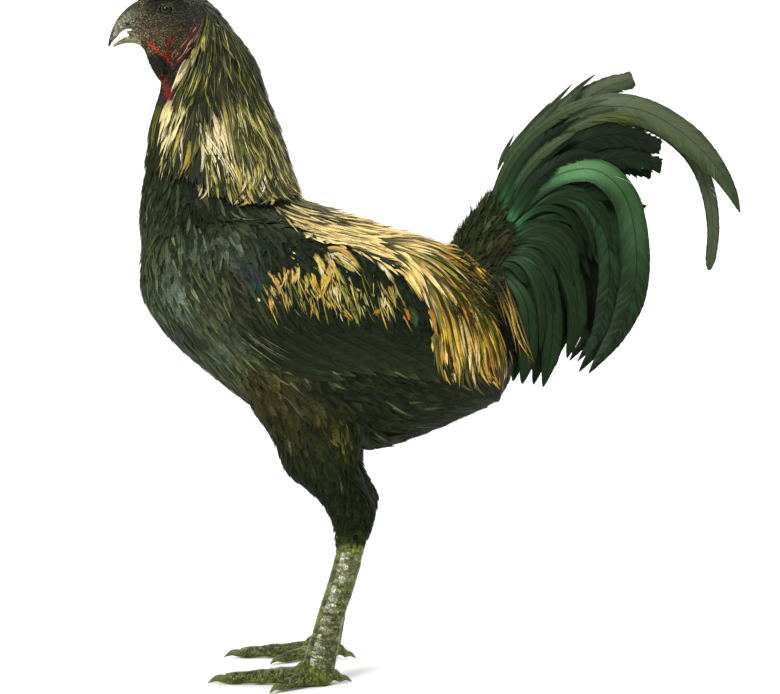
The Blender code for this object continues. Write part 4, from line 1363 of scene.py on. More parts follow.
def streak_palette(u, v, line, rng):
    """Loose narrow feathers over the rest: most like their neighbours, a few grey-green or olive."""
    col, rim, rimw, glossy = dark_palette(u, v, line, rng)
    n = len(u)
    um, vm = u.mean(1), v.mean(1)
    light = (rng.random(n) < 0.10 + 0.22 * smoothstep(320, 180, um + 0.3 * (vm - 260))) * rng.uniform(0.2, 1.0, n)
    pick = rng.random(n)
    tint = mix(srgb(88, 96, 62), srgb(98, 112, 92), smoothstep(0.4, 0.9, pick))
    tint = mix(tint, srgb(112, 110, 76), (pick > 0.85) * 0.8)
    light *= 1 - 0.8 * smoothstep(235, 270, um) * smoothstep(380, 350, vm)
    col = mix(col, np.broadcast_to(tint[:, None], col.shape), np.broadcast_to((light * 0.75)[:, None], u.shape))
    return col, col * 1.2, 0.5, glossy * 0.5




STREAKY = (dark_mask | LEG) & ~CAPE & (V < 540)
body_coat(
    "coat_streaks", STREAKY & ((V < 300) | (U < 300) | (V > 360) | ~WINGISH), lambda u, v: np.interp(u, [150, 260, 400], [6.2, 7.4, 8.4]),
    lambda u, v: np.interp(v, [200, 300, 440, 540], [30, 36, 34, 12]), lambda u, v: np.interp(v, [200, 440, 540], [3.4, 3.0, 1.8]), 17,
    BODY_LOOK, palette=streak_palette, steps=6, across=3, depth=0.0012, lift=0.0022, yaw=0.20, profile=LANCE,
    sweep=1.2, tatter=0.2,
)


def wing_palette(u, v, line, rng):
    n, steps = u.shape
    um, vm = u.mean(1), v.mean(1)
    base = mix(srgb(15, 21, 8), srgb(23, 29, 12), rng.random(n) * 0.8)
    base = mix(base, srgb(60, 62, 42), smoothstep(262, 215, um) * smoothstep(345, 300, vm) * rng.uniform(0.0, 0.8, n))
    # painted highlights: blue-grey, violet and teal patches of sheen on the wing's shoulder
    base = mix(base, srgb(70, 84, 80), patch(um, vm, 228, 250, 26, 12) * rng.uniform(0, 1, n) ** 1.5)
    base = mix(base, srgb(58, 56, 86), patch(um, vm, 247, 274, 8, 7) * rng.uniform(0, 1, n))
    base = mix(base, srgb(30, 60, 50), patch(um, vm, 260, 282, 10, 18) * rng.uniform(0, 1, n))
    s = np.linspace(0, 1, steps)
    col = base[:, None, :] * rng.uniform(0.6, 1.3, (n, 1, 1)) * (0.80 + 0.3 * s)[None, :, None]
    return col, col * rng.uniform(0.8, 1.6, (n, 1, 1)), 0.6, rng.uniform(0.1, 0.9, n)


body_coat(
    "coat_wing", WINGISH & ~CAPE, lambda u, v: np.interp(v, [220, 300, 370], [5.0, 5.6, 7.0]),
    lambda u, v: np.interp(v, [220, 290, 330, 370], [22, 28, 36, 42]), lambda u, v: np.interp(v, [220, 300, 370], [9, 11, 13]), 13,
    WING_LOOK, palette=wing_palette, steps=6, depth=0.0034, lift=0.0006, profile=SOFT,
)


# ---- hackles ------------------------------------------------------------------------------------
def hackle_palette(u, v, line, rng):
    """Neck cape: black-olive with thin lime rims above; cream and straw feathers among them towards the hem."""
    n, steps = u.shape
    s = np.linspace(0, 1, steps)[None, :]
    ut, vt = u[:, -1], v[:, -1]
    hem = hem_at(ut)
    chance = 0.26 * smoothstep(-70, -25, vt - hem) * smoothstep(150, 165, ut)
    chance += 0.20 * smoothstep(225, 250, ut) * smoothstep(95, 130, vt)
    chance *= 1 - 0.96 * np.clip(patch(ut, vt, 198, 118, 20, 50) + patch(ut, vt, 196, 172, 12, 14), 0, 1)
    chance *= np.where(ut < 158, 0.2, 1.0)
    pale = (rng.random(n) < chance) * rng.uniform(0.6, 1.0, n)
    hue = rng.random(n)
    tip = mix(srgb(204, 188, 132), srgb(180, 156, 80), smoothstep(0.3, 0.9, hue))
    tip = mix(tip, srgb(140, 138, 50), (rng.random(n) < 0.35) * 0.9)
    core = mix(srgb(20, 24, 8), srgb(34, 38, 16), rng.random(n))
    laced = rng.random(n) < 0.6
    grow = smoothstep(0.15, 0.7, s) * (pale * np.where(laced, 0.18, 1.0))[:, None]
    col = mix(np.broadcast_to(core[:, None], (n, steps, 3)), np.broadcast_to(tip[:, None] * 0.8, (n, steps, 3)), grow * 0.9)
    lime = mix(srgb(112, 118, 40), srgb(74, 84, 36), rng.random(n))
    lime = mix(lime, srgb(158, 152, 84), (rng.random(n) < 0.22) * 0.8)
    edge = mix(lime, tip, pale)
    nape = smoothstep(206, 224, ut) * smoothstep(118, 84, vt)
    edge = edge * (1 - 0.50 * nape)[:, None]
    rim = np.broadcast_to(edge[:, None], (n, steps, 3)) * (0.6 + 0.45 * s)[..., None]
    strength = np.clip(rng.normal(0.28, 0.40, n), 0.0, 1)
    strength *= np.where((ut > 182) & (ut < 222) & (vt < 170), 0.25, 1.0)
    upper = smoothstep(165, 115, vt)
    strength *= 1 - 0.30 * upper
    col = col * (1 - 0.24 * upper * (1 - pale))[:, None, None]
    strength *= 1 - 0.9 * smoothstep(152, 168, vt) * smoothstep(207, 197, ut)
    strength = np.maximum(strength, pale)
    return col, rim, strength[:, None] * smoothstep(0.05, 0.4, s), np.zeros(n)


def hackles(name, roots, normals, length, width, rng, palette, look=None, steps=11, across=5, yaw=0.08, turn=None,
            depth=0.0030, lift=0.0016, stiff=3, curl=0.0, ragged=0.06, tatter=0.06, profile=LANCE, camber=0.4, hem=None, flow=flow_at):
    kept = rng.bit_generator.state
    line, ups = march(roots, normals, length, steps, rng, yaw=yaw, stiff=stiff, turn=turn, flow=flow)
    n = len(roots)
    if hem is not None:  # end each feather near the hem
        u, v = layout_of(line.reshape(-1, 3))
        u, v = u.reshape(n, steps), v.reshape(n, steps)
        past = v > np.interp(u, *hem)
        first = np.where(past.any(1), past.argmax(1), steps - 1) / (steps - 1)
        rng.bit_generator.state = kept
        room = np.where(past.any(1), np.maximum(first, 0.12) * np.random.default_rng(5).uniform(0.64, 1.12, n), 1.0)
        length = length * room
        line, ups = march(roots, normals, length, steps, rng, yaw=yaw, stiff=stiff, turn=turn, flow=flow)
    u, v = layout_of(line.reshape(-1, 3))
    col, rim, rimw, glossy = palette(u.reshape(n, steps), v.reshape(n, steps), line, rng)
    return vanes(
        name, line, ups, width, profile, across, col, rim, rimw, look or HACKLE_LOOK, rng,
        depth * rng.uniform(0.7, 1.3, n), lift * rng.uniform(-0.2, 2.0, n), camber=camber, sweep=1.6,
        ragged=ragged, tatter=tatter, glossy=glossy, curl=curl,
    )


rng = np.random.default_rng(21)
neck_mask = NECKISH & ~bare_at(U, V) & (V < hem_at(U) - 14)
space = np.interp(V, [-20, 60, 150, 190], [2.7, 3.4, 4.5, 5.0]) / 1000
roots, normals = scattered(neck_mask, space, rng)
u, v = layout_of(roots)
room = np.maximum(hem_at(u + 10) - v, 10) * UNIT
length = np.minimum(np.interp(v, [-20, 30, 80, 130], [22, 36, 56, 68]) / 1000 * rng.uniform(0.7, 1.2, len(u)), room * rng.uniform(0.80, 1.12, len(u)))
width = np.interp(v, [-20, 60, 150], [0.95, 1.45, 2.4]) / 1000 * rng.uniform(0.6, 1.3, len(u))
hackles("coat_neck", roots, normals, length, width, rng, hackle_palette)


def saddle_palette(u, v, line, rng):
    n, steps = u.shape
    s = np.linspace(0, 1, steps)[None, :]
    um, ut, vt = u.mean(1), u[:, -1], v[:, -1]
    rear = smoothstep(385, 440, um)
    hue = rng.random(n)
    tip = mix(srgb(230, 207, 134), srgb(206, 167, 56), rear)
    tip = mix(tip, srgb(180, 124, 34), (hue < 0.24) * (0.3 + 0.5 * rear))
    tip = mix(tip, srgb(228, 206, 146), (hue > 0.80) * 0.7)
    tip = mix(tip, srgb(120, 120, 34), ((hue > 0.58) & (hue < 0.72)) * (0.25 + 0.65 * rear))
    dark = rng.random(n) < 0.20 + 0.28 * rear + 0.75 * smoothstep(18, 6, vt - above_back(ut)) * smoothstep(365, 315, um)
    tip = mix(tip, mix(srgb(34, 36, 12), srgb(96, 100, 38), rng.random(n) < 0.25), dark * 0.92)
    core = mix(srgb(38, 36, 14), tip * 0.8, rng.uniform(0.1, 1.0, n) ** 1.3)
    col = mix(np.broadcast_to(core[:, None], (n, steps, 3)) * 0.9, np.broadcast_to(tip[:, None], (n, steps, 3)), smoothstep(0.1, 0.7, s) * 0.75)
    rim = np.broadcast_to(tip[:, None], (n, steps, 3)) * (0.75 + 0.3 * s)[..., None]
    bright = rng.uniform(0.62, 1.12, (n, 1, 1))
    return col * bright, rim * bright, rng.uniform(0.3, 1, n)[:, None] * np.ones_like(s), np.zeros(n)


rng = np.random.default_rng(22)
roots, normals = scattered(CAPE, np.full(len(U), 0.0038), rng)
u, v = layout_of(roots)
length = np.interp(u, [280, 340, 400, 440, 500], [40, 50, 66, 84, 66]) / 1000 * rng.uniform(0.7, 1.2, len(u))
width = np.interp(u, [280, 400, 500], [1.9, 2.1, 2.0]) / 1000 * rng.uniform(0.75, 1.3, len(u))
hackles("coat_saddle", roots, normals, length, width, rng, saddle_palette, steps=10, lift=0.0026, hem=CAPE_HEM, yaw=0.07, flow=cape_flow)

# ---- markings: single feathers laid along lines of the layout ------------------------------------


def on_coat(u, v, side):
    """Where the line of sight through a place of the layout meets the coat, and the normal there."""
    start = Vector((VIEW_X, -side * VIEW_DISTANCE, VIEW_Z))
    far = Vector(at(u, v, 0) * np.array([1, side, 1]))
    place, normal, _, _ = coat_tree.ray_cast(start, (far - start).normalized())
    if place is None:
        place, normal, _, _ = coat_tree.find_nearest(far)
    return np.array(place), np.array(normal)


TINT = {
    "cream": (srgb(190, 176, 118), srgb(218, 202, 144)), "white": (srgb(190, 180, 146), srgb(220, 210, 178)),
    "straw": (srgb(166, 148, 72), srgb(188, 168, 82)), "lime": (srgb(80, 88, 24), srgb(122, 126, 38)),
    "limecream": (srgb(124, 124, 54), srgb(180, 170, 92)), "gold": (srgb(174, 140, 50), srgb(198, 162, 62)),
    "goldtip": (srgb(188, 160, 84), srgb(186, 136, 50)), "orange": (srgb(166, 134, 54), srgb(178, 116, 40)),
    "peach": (srgb(190, 160, 88), srgb(202, 168, 94)), "ember": (srgb(150, 92, 22), srgb(168, 92, 20)),
    "olive": (srgb(62, 68, 28), srgb(90, 92, 46)), "grey": (srgb(84, 88, 64), srgb(114, 116, 90)),
    "green": (srgb(28, 58, 22), srgb(34, 70, 30)), "pink": (srgb(182, 164, 122), srgb(206, 190, 148)),
    "yellow": (srgb(132, 122, 36), srgb(160, 128, 44)), "tipyellow": (srgb(190, 178, 110), srgb(160, 148, 50)),
}


def marked(name, rows, seed, look=None, steps=9, across=3, lift=0.0020, profile=LANCE, jitter=0.5, fine=0.42):
    """Feathers along lines of the layout, on both sides. A broad one is a bunch of strands."""
    rng = np.random.default_rng(seed)
    lines, ups, widths, cols, rims, lifts = [], [], [], [], [], []
    for points, px, tint, count in rows:
        a, b = TINT[tint]
        strands = 1 if px < 2.7 or count == 0 else max(int(round(px * 0.8)) + count, 3)
        for side in (1, -1):
            for k in range(strands):
                path = smooth([(u, v) for u, v in points], steps) if len(points) > 2 else np.linspace(points[0], points[1], steps)
                d = unit(path[-1] - path[0])
                over = ((k + 0.5) / strands - 0.5) * px * 0.95 if strands > 1 else 0.0
                t = np.linspace(0, 1, steps)[:, None]
                fan = over * (0.55 + 0.45 * np.sin(math.pi * np.clip(t * 1.1 + 0.1, 0, 1)))
                path = path + np.array([-d[1], d[0]]) * fan + rng.normal(0, jitter, 2) + np.outer(t[:, 0] ** 2, rng.normal(0, jitter, 2))
                size = rng.uniform(0.46, 1.08) if strands > 1 else rng.uniform(0.86, 1.06)
                begin = rng.uniform(0.0, 0.16) if strands > 1 else 0.0
                grid = np.linspace(0, 1, steps)
                want = begin + (min(size, 1.0) - begin) * grid
                path = np.stack([np.interp(want, grid, path[:, 0]), np.interp(want, grid, path[:, 1])], 1)
                got = [on_coat(u, v, side) for u, v in path]
                line = np.array([g[0] for g in got])
                up = np.array([g[1] for g in got])
                line[1:-1] = 0.5 * line[1:-1] + 0.25 * (line[:-2] + line[2:])
                lines.append(line)
                ups.append(up)
                widths.append(px * UNIT / 2 * (1.0 if strands == 1 else fine) * rng.uniform(0.7, 1.2))
                tone = rng.uniform(0.62, 1.12)
                col = mix(np.broadcast_to(a, (steps, 3)), np.broadcast_to(b, (steps, 3)), smoothstep(0.2, 0.9, t[:, 0])) * tone
                col = mix(np.broadcast_to(a * 0.35, (steps, 3)), col, smoothstep(-0.1, 0.35, t[:, 0]))
                if strands > 1 and rng.random() < 0.16:
                    col = mix(col, srgb(44, 44, 16), 0.8)
                cols.append(col)
                rims.append(mix(col, srgb(92, 84, 26), rng.uniform(0.1, 0.8)))
                lifts.append(lift * rng.uniform(0.5, 1.7))
    n = len(lines)
    return vanes(
        name, np.array(lines), unit(np.array(ups)), np.array(widths), profile, across, np.array(cols), np.array(rims), 0.8,
        look or HACKLE_LOOK, rng, np.full(n, 0.0004), np.array(lifts), camber=0.35, sweep=1.4, ragged=0.05, tatter=0.08,
        glossy=np.zeros(n), roll=0.10,
    )


NECK_MARKS = [
    # the pale feathers of the cape: line, width, tint, feathers side by side
    ([(188, 58), (181, 74), (172.5, 95)], 6.5, "pink", 2), ([(190, 62), (184, 78), (176, 96)], 2.5, "lime", 1),
    ([(171, 98), (165, 124), (157, 166)], 10, "cream", 4), ([(179, 97), (173, 128), (165, 160)], 10, "cream", 4), ([(175, 102), (169, 130), (160, 162)], 8, "pink", 3),
    ([(187, 86), (181, 116), (169, 152)], 6, "cream", 2), ([(168, 150), (161, 163), (157, 177)], 4, "tipyellow", 1),
    ([(181, 120), (178, 140), (173, 162)], 5, "tipyellow", 2), ([(182, 122), (180, 142), (183, 162), (180, 178)], 5, "white", 1),
    ([(192, 137), (190, 157), (181, 180)], 7, "yellow", 2), ([(198, 133), (195, 152), (188, 171)], 4.5, "lime", 1),
    ([(196, 119), (204, 134), (220, 156), (236, 184), (237, 197)], 4, "white", 1),
    ([(203, 117), (213, 138), (229, 163), (240, 186)], 4.5, "cream", 2), ([(200, 134), (206, 147), (215, 163), (221, 187)], 5, "cream", 2),
    ([(201, 140), (203.5, 158), (201, 175)], 3.5, "white", 1), ([(205, 158), (209, 170), (215, 185)], 4, "cream", 1),
    ([(210, 110), (217, 131), (225, 155), (230, 172)], 8, "pink", 3), ([(221, 105), (226, 129), (231, 155), (238, 181)], 6, "cream", 2),
    ([(233, 129), (240, 147), (239, 164)], 9, "olive", 2), ([(238, 160), (239, 175), (238, 196)], 6, "straw", 2),
    ([(244, 161), (248, 175), (246, 184), (239, 196)], 4.5, "cream", 1), ([(254, 148), (261, 163), (260, 181), (253, 191)], 6, "limecream", 2),
    ([(256, 163), (256, 179), (252, 189)], 4.5, "cream", 1), ([(265, 168), (264, 184), (257, 203)], 4.5, "white", 1),
    ([(273, 160), (277, 177), (275, 190)], 3.5, "white", 1), ([(251, 191), (241, 199), (233, 207)], 3.2, "pink", 1),
    ([(254, 194), (247, 202), (237, 208)], 3.2, "straw", 1), ([(273, 191), (269, 200), (259, 207)], 3.5, "cream", 1),
    ([(274, 193), (273, 203), (269, 209)], 3.2, "tipyellow", 1), ([(203, 184), (201, 192), (199, 197)], 2.6, "pink", 1),
    ([(208, 187), (205, 195), (200, 200)], 2.6, "cream", 1), ([(237, 101), (250, 117), (267, 143), (282, 174)], 3.8, "limecream", 1),
    ([(252, 104), (260, 124), (270, 147), (281, 176)], 3.8, "cream", 1), ([(267, 128), (278, 149), (287, 175), (293, 187)], 4.2, "cream", 1),
    ([(272, 124), (282, 140), (290, 162), (292, 176)], 3.8, "cream", 1), ([(241, 140), (248, 155), (254, 171)], 4, "grey", 2),
    ([(257, 140), (260, 152), (264, 163)], 4.5, "limecream", 1), ([(231, 99), (233, 110), (237, 125)], 2.4, "grey", 1),
    ([(238, 104), (238, 115), (240, 125)], 2.2, "straw", 1), ([(216, 140), (224, 158), (228, 178)], 5, "cream", 2),
    ([(247, 118), (257, 136), (265, 160)], 3, "limecream", 1), ([(262, 120), (271, 138), (279, 160)], 3, "straw", 1),
    ([(245, 170), (250, 184), (249, 196)], 4, "straw", 1), ([(225, 172), (228, 182), (226, 192)], 4, "limecream", 1),
    ([(211, 168), (216, 180), (217, 190)], 4, "straw", 1), ([(268, 165), (270, 180), (266, 196)], 3.4, "limecream", 1),
    ([(281, 160), (286, 176), (288, 190)], 3.2, "limecream", 1), ([(162, 98), (156, 115), (154, 134), (156, 150)], 4, "olive", 2),
    ([(159, 103), (155, 118), (153, 135)], 3, "lime", 1), ([(157, 112), (153.5, 128), (154, 150)], 2.6, "limecream", 1),
    ([(162, 104), (157, 122), (155, 142)], 2.2, "lime", 1), ([(155, 126), (152.5, 142), (155, 160)], 2.0, "lime", 1),
    # thin lime rims higher up
    ([(223, 60), (229, 74), (234, 89)], 1.8, "lime", 1), ([(210, 81), (213, 93), (217, 111)], 2.0, "lime", 1),
    ([(204, 81), (207, 98), (214, 114)], 2.0, "lime", 1), ([(202, 66), (198, 81), (191, 99)], 2.8, "limecream", 1),
    ([(196, 66), (192, 90), (189, 99)], 2.2, "lime", 1), ([(198, 90), (190, 105), (181, 122)], 2.4, "lime", 1),
    ([(209, 66), (205, 74), (204, 84)], 1.8, "lime", 1), ([(204, 31), (203, 45), (205, 57)], 4.2, "straw", 1),
    ([(210, 34), (214, 40), (217, 45)], 2.8, "lime", 1), ([(198, 44), (193, 56), (190, 67)], 5, "limecream", 2),
    ([(217, 52), (225, 67), (233, 85)], 2.0, "olive", 1), ([(241, 62), (250, 78), (259, 97)], 2.2, "lime", 1),
    ([(231, 28), (242, 46), (253, 62)], 1.8, "olive", 1), ([(213, 22), (220, 27)], 1.8, "grey", 1),
    ([(202, 2), (210, 5), (218, 11)], 2.2, "lime", 1), ([(226, 22), (234, 34), (240, 46)], 1.8, "lime", 1),
    ([(236, 72), (244, 88), (250, 102)], 2.0, "lime", 1), ([(222, 40), (230, 52), (238, 66)], 1.8, "lime", 1),
    ([(246, 96), (254, 108), (263, 120)], 2.2, "grey", 1), ([(255, 92), (263, 106), (271, 120)], 2.6, "olive", 1),
]
marked("coat_neck_marks", NECK_MARKS, 31, fine=0.50, jitter=0.28)

# fine pale edges all over the hackles, running from the head down to the hem
LINE_V, LINE_FRONT, LINE_BACK = [0, 20, 60, 100, 140, 180, 205], [205, 201, 184, 165, 153, 147, 149], [217, 229, 253, 266, 281, 293, 300]
edges = np.random.default_rng(52)
NECK_LINES = []
while len(NECK_LINES) < 400:
    t, v0, size, drift = edges.random(), edges.uniform(2, 168), edges.uniform(20, 44), edges.normal(0, 0.025)
    if edges.random() > np.interp(v0, [0, 170], [0.14, 1.0]):
        continue
    path = []
    for k in range(4):
        v1 = v0 + size * k / 3
        a, b = np.interp(v1, LINE_V, LINE_FRONT), np.interp(v1, LINE_V, LINE_BACK)
        path.append((a + (b - a) * (t + drift * k / 3), v1))
    um, vm = path[2]
    if (184 < um < 204 and 92 < vm < 186 or 203 < um < 232 and 92 < vm < 128) and edges.random() < 0.90 or t < 0.06:
        continue
    if path[-1][1] > hem_at(path[-1][0]) - 3 or um > 218 and vm < 100 and edges.random() < 0.6:
        continue
    odds = [0.36, 0.34, 0.10, 0.02, 0.18] if vm < 105 else [0.24, 0.20, 0.26, 0.18, 0.12]
    NECK_LINES.append((path, edges.uniform(0.5, 1.1), ["lime", "olive", "limecream", "cream", "grey"][edges.choice(5, p=odds)], 1))
marked("coat_neck_lines", NECK_LINES, 33, steps=6, lift=0.0017, jitter=0.3)

# slim gold hackles of the saddle that hang over the roots of the tail's lower feathers
over = np.random.default_rng(61)
FIRST = np.array([(484, 283, 50), (497, 305, 57), (507, 330, 61), (512, 354, 61.5)], float)
LAST = np.array([(500, 271, 50), (512, 302, 60), (522, 337, 63), (531, 363, 62)], float)
ends, outs, broad, body, trim = [], [], [], [], []
for side in (1, -1):
    for k in range(14):
        share = 0.22 + 0.95 * (k + 0.5) / 14 + over.normal(0, 0.07)
        knots = FIRST + (LAST - FIRST) * share + over.normal(0, 1.5, (4, 3)) * [1, 1, 0.3]
        knots[3] += [over.normal(1.0, 3.0), 0, 0]
        knots = knots[0] + (knots - knots[0]) * over.uniform(0.55, 1.06)
        path = smooth([tuple(q) for q in knots], 11)
        line = np.array([at(q[0], q[1], -q[2] / 1000) * np.array([1, side, 1]) for q in path])
        t = np.linspace(0, 1, 11)[:, None]
        a, b = TINT[["gold", "straw", "yellow", "goldtip"][over.integers(4)]]
        ends.append(line)
        outs.append(np.tile([0.25, -side * 0.97, 0.0], (11, 1)))
        broad.append(over.uniform(0.36, 0.86) / 1000)
        body.append(mix(np.tile(srgb(40, 42, 16), (11, 1)), mix(np.tile(a, (11, 1)), np.tile(b, (11, 1)), t[:, 0]), smoothstep(0.15, 0.6, t[:, 0])) * over.uniform(0.34, 1.0))
        trim.append(body[-1] * 0.7)
vanes(
    "coat_saddle_ends", np.array(ends), unit(np.array(outs)), np.array(broad), LANCE, 3, np.array(body), np.array(trim), 0.8,
    HACKLE_LOOK, over, np.full(len(ends), 0.0004), np.full(len(ends), 0.0006), camber=0.3, sweep=1.4, ragged=0.05,
    tatter=0.06, glossy=np.zeros(len(ends)), roll=0.10,
)

WING_MARKS = [
    # the gold and cream of the wing bow
    ([(269, 269), (276, 286), (279, 297)], 6, "peach", 2), ([(289, 265), (284, 280), (278, 295)], 5, "peach", 2),
    ([(270, 295), (272, 305), (274, 315)], 5, "goldtip", 2), ([(257, 296), (261, 302)], 2.4, "cream", 1),
    ([(267, 279), (273, 292), (277, 300)], 4, "peach", 1), ([(289, 248), (295, 255)], 2.6, "cream", 1), ([(291, 255), (295, 260)], 2.0, "limecream", 1),
    ([(292, 265), (294, 276), (291, 288)], 6, "peach", 2), ([(298, 258), (300, 272), (299, 288)], 2.6, "limecream", 2),
    ([(299, 286), (302, 300)], 2.4, "olive", 1), ([(308, 264), (313, 280), (317, 295)], 6, "gold", 3),
    ([(331, 266), (326, 280), (320, 297)], 8, "gold", 3), ([(317, 256), (322, 269), (324, 281)], 5, "cream", 2),
    ([(309, 293), (313, 306), (311, 320)], 4, "goldtip", 2), ([(315, 304), (319, 321)], 2.2, "yellow", 1),
    ([(324, 308), (329, 328)], 1.8, "lime", 1), ([(318, 288), (318, 304)], 5, "gold", 1),
    ([(320, 250), (336, 247), (350, 254), (364, 276)], 6, "goldtip", 3), ([(322, 256), (336, 254), (350, 262), (362, 276)], 6, "cream", 3),
    ([(333, 259), (346, 266), (356, 273)], 5, "straw", 2), ([(328, 262), (338, 276), (346, 296), (352, 318)], 4, "limecream", 2), ([(314, 262), (318, 284), (326, 308)], 4, "gold", 2), ([(325, 248), (329, 259), (329, 270)], 3.4, "cream", 2),
    ([(329, 259), (333, 270), (331, 281)], 3.4, "cream", 2), ([(334, 281), (337, 294), (340, 309)], 7, "cream", 3),
    ([(341, 309), (347, 315), (352, 322)], 4, "orange", 2), ([(347, 312), (349, 329)], 1.8, "lime", 1),
    ([(354, 312), (357, 327)], 1.8, "lime", 1), ([(336, 262), (345, 280), (352, 302)], 2.0, "lime", 1),
    ([(340, 260), (349, 276), (355, 296)], 2.2, "limecream", 1), ([(333, 272), (342, 287), (346, 298)], 2.0, "lime", 1),
    ([(343, 264), (351, 286), (357, 309)], 1.8, "straw", 1), ([(377, 259), (385, 271), (392, 284)], 5, "white", 2),
    ([(381, 262), (388, 274), (395, 285)], 3.4, "limecream", 1), ([(363, 295), (368, 308)], 2.8, "limecream", 1),
    ([(386, 289), (384, 301), (382, 313)], 5, "cream", 2), ([(380, 309), (372, 317)], 3.8, "orange", 2),
    ([(395, 284), (397, 294), (395, 302)], 2.0, "grey", 1), ([(401, 268), (411, 282), (422, 304)], 4.2, "goldtip", 1),
    ([(396, 264), (406, 280), (415, 296)], 1.6, "lime", 1), ([(403.5, 301), (405.5, 312), (408, 326)], 8.5, "ember", 0),
    ([(410, 304), (414, 317), (417, 329)], 6, "green", 2), ([(303, 231), (317, 240)], 4, "cream", 2),
    ([(283, 213), (292, 225), (300, 235)], 2.6, "straw", 1), ([(288, 218), (302, 228), (318, 236)], 3.6, "peach", 2),
    ([(276, 206), (283, 216)], 2.2, "grey", 1), ([(285, 199), (311, 208), (334, 216)], 2.2, "lime", 1),
    ([(299, 198), (320, 207), (336, 214)], 2.2, "lime", 1), ([(292, 203), (312, 211), (330, 219)], 2.0, "limecream", 1),
    ([(300, 354), (318, 366), (334, 371), (342, 378)], 1.8, "grey", 1), ([(314, 366), (328, 370), (340, 377)], 1.4, "grey", 1),
    ([(244, 330), (262, 346), (290, 362)], 1.0, "grey", 1), ([(250, 328), (270, 342), (300, 356)], 1.0, "grey", 1),
    ([(354, 288), (360, 292)], 2.2, "limecream", 1), ([(371, 294), (376, 297)], 2.2, "lime", 1),
    ([(303, 296), (306, 309)], 2.0, "lime", 1), ([(296, 290), (299, 302)], 2.0, "limecream", 1),
    ([(312, 252), (322, 262), (328, 280)], 6, "straw", 2), ([(322, 252), (334, 268), (340, 290)], 6, "gold", 2),
    ([(306, 268), (308, 284), (306, 300)], 5, "straw", 2), ([(338, 256), (352, 260), (362, 272)], 5, "straw", 2),
    ([(276, 272), (277, 284), (272, 298)], 5, "goldtip", 2), ([(322, 284), (328, 300), (330, 312)], 5, "straw", 2),
    ([(344, 286), (350, 300), (352, 312)], 4, "straw", 2), ([(284, 262), (286, 276), (284, 290)], 4, "straw", 1),
    # pale shafts and edges along the wing's lower edge and on the flank before it
    ([(186, 262), (202, 290), (226, 322)], 1.3, "grey", 1), ([(192, 262), (210, 292), (236, 326)], 1.1, "olive", 1),
    ([(222, 318), (246, 342), (284, 368)], 1.8, "grey", 1), ([(232, 322), (262, 346), (300, 364)], 1.2, "grey", 1),
    ([(240, 336), (268, 356), (312, 372)], 1.4, "olive", 1), ([(250, 336), (284, 356), (318, 372), (348, 377)], 1.5, "grey", 1),
    ([(300, 360), (322, 368), (346, 374)], 2.6, "grey", 1), ([(318, 364), (336, 370), (352, 376)], 2.0, "limecream", 1),
    ([(206, 268), (214, 300), (222, 330)], 1.2, "olive", 1), ([(262, 368), (278, 380), (292, 388)], 2.6, "olive", 1),
    ([(196, 330), (214, 352), (232, 372)], 1.6, "grey", 1), ([(204, 326), (220, 346), (240, 362)], 1.2, "grey", 1),
    ([(160, 276), (168, 300), (178, 320)], 2.0, "grey", 1), ([(166, 284), (176, 300), (186, 318)], 1.6, "grey", 1),
    ([(150, 236), (153, 252), (156, 268)], 1.6, "olive", 1), ([(178, 296), (190, 322), (204, 342)], 1.6, "grey", 1),
]
bow = np.random.default_rng(77)
for _ in range(170):  # fine loose strands about the bow, in bunches
    u0, v0 = [(276, 284), (294, 282), (318, 284), (336, 272), (342, 296), (352, 290), (384, 292)][bow.integers(7)] + bow.normal(0, 1, 2) * (9, 9)
    if 256 < u0 < 402 and 246 < v0 < 316:
        size = bow.uniform(12, 30)
        lean = 0.28 + 0.18 * bow.normal()
        WING_MARKS.append((
            [(u0, v0), (u0 + lean * size * 0.45, v0 + size * 0.5), (u0 + lean * size * 1.1, v0 + size)], bow.uniform(0.7, 1.7),
            ["lime", "olive", "limecream", "gold", "straw", "cream"][bow.choice(6, p=[0.20, 0.20, 0.18, 0.16, 0.18, 0.08])], 1,
        ))
marked("coat_wing_marks", WING_MARKS, 32, lift=0.0016, steps=6, fine=0.44, jitter=0.4)

# ---- tail: base cover ---------------------------------------------------------------------------
def tail_palette(u, v, line, rng):
    n, steps = u.shape
    um, vm = u.mean(1), v.mean(1)
    base = mix(srgb(28, 36, 18), srgb(60, 66, 34), rng.random(n) ** 1.6)
    base = mix(base, srgb(24, 48, 20), rng.random(n) * smoothstep(480, 520, um) * smoothstep(260, 220, vm))
    base = mix(base, srgb(52, 44, 26), patch(um, vm, 512, 250, 28, 16) * rng.uniform(0.2, 1, n))
    # painted highlight: a grey patch of sheen on the coverts low at the tail's root
    base = mix(base, srgb(84, 84, 86), patch(um, vm, 526, 278, 16, 13) * rng.uniform(0, 0.9, n))
    col = np.broadcast_to(base[:, None], (n, steps, 3)) * rng.uniform(0.5, 1.35, (n, 1, 1))
    return col, col * 1.4, 0.5, rng.uniform(0, 1, n)


body_coat(
    "coat_tail_base", TAIL_TOP & (V > 178), 3.8, lambda u, v: np.interp(u, [450, 540], [20, 34]), 4.6, 14, BODY_LOOK,
    palette=tail_palette, steps=6, across=3, lift=0.0032, yaw=0.32, profile=STRAP, tatter=0.3, curl=0.001,
)

body_coat(
    "coat_fluff", (U > 450) & (U < 552) & (V > 196) & (V < 312) & (Y > 0.006), 3.3, 21, 1.5, 15, BODY_LOOK,
    palette=tail_palette, steps=6, across=3, depth=0.0008, lift=0.0075, yaw=0.42, profile=FLUFF, tatter=0.3, curl=0.0016, roll=0.8,
)

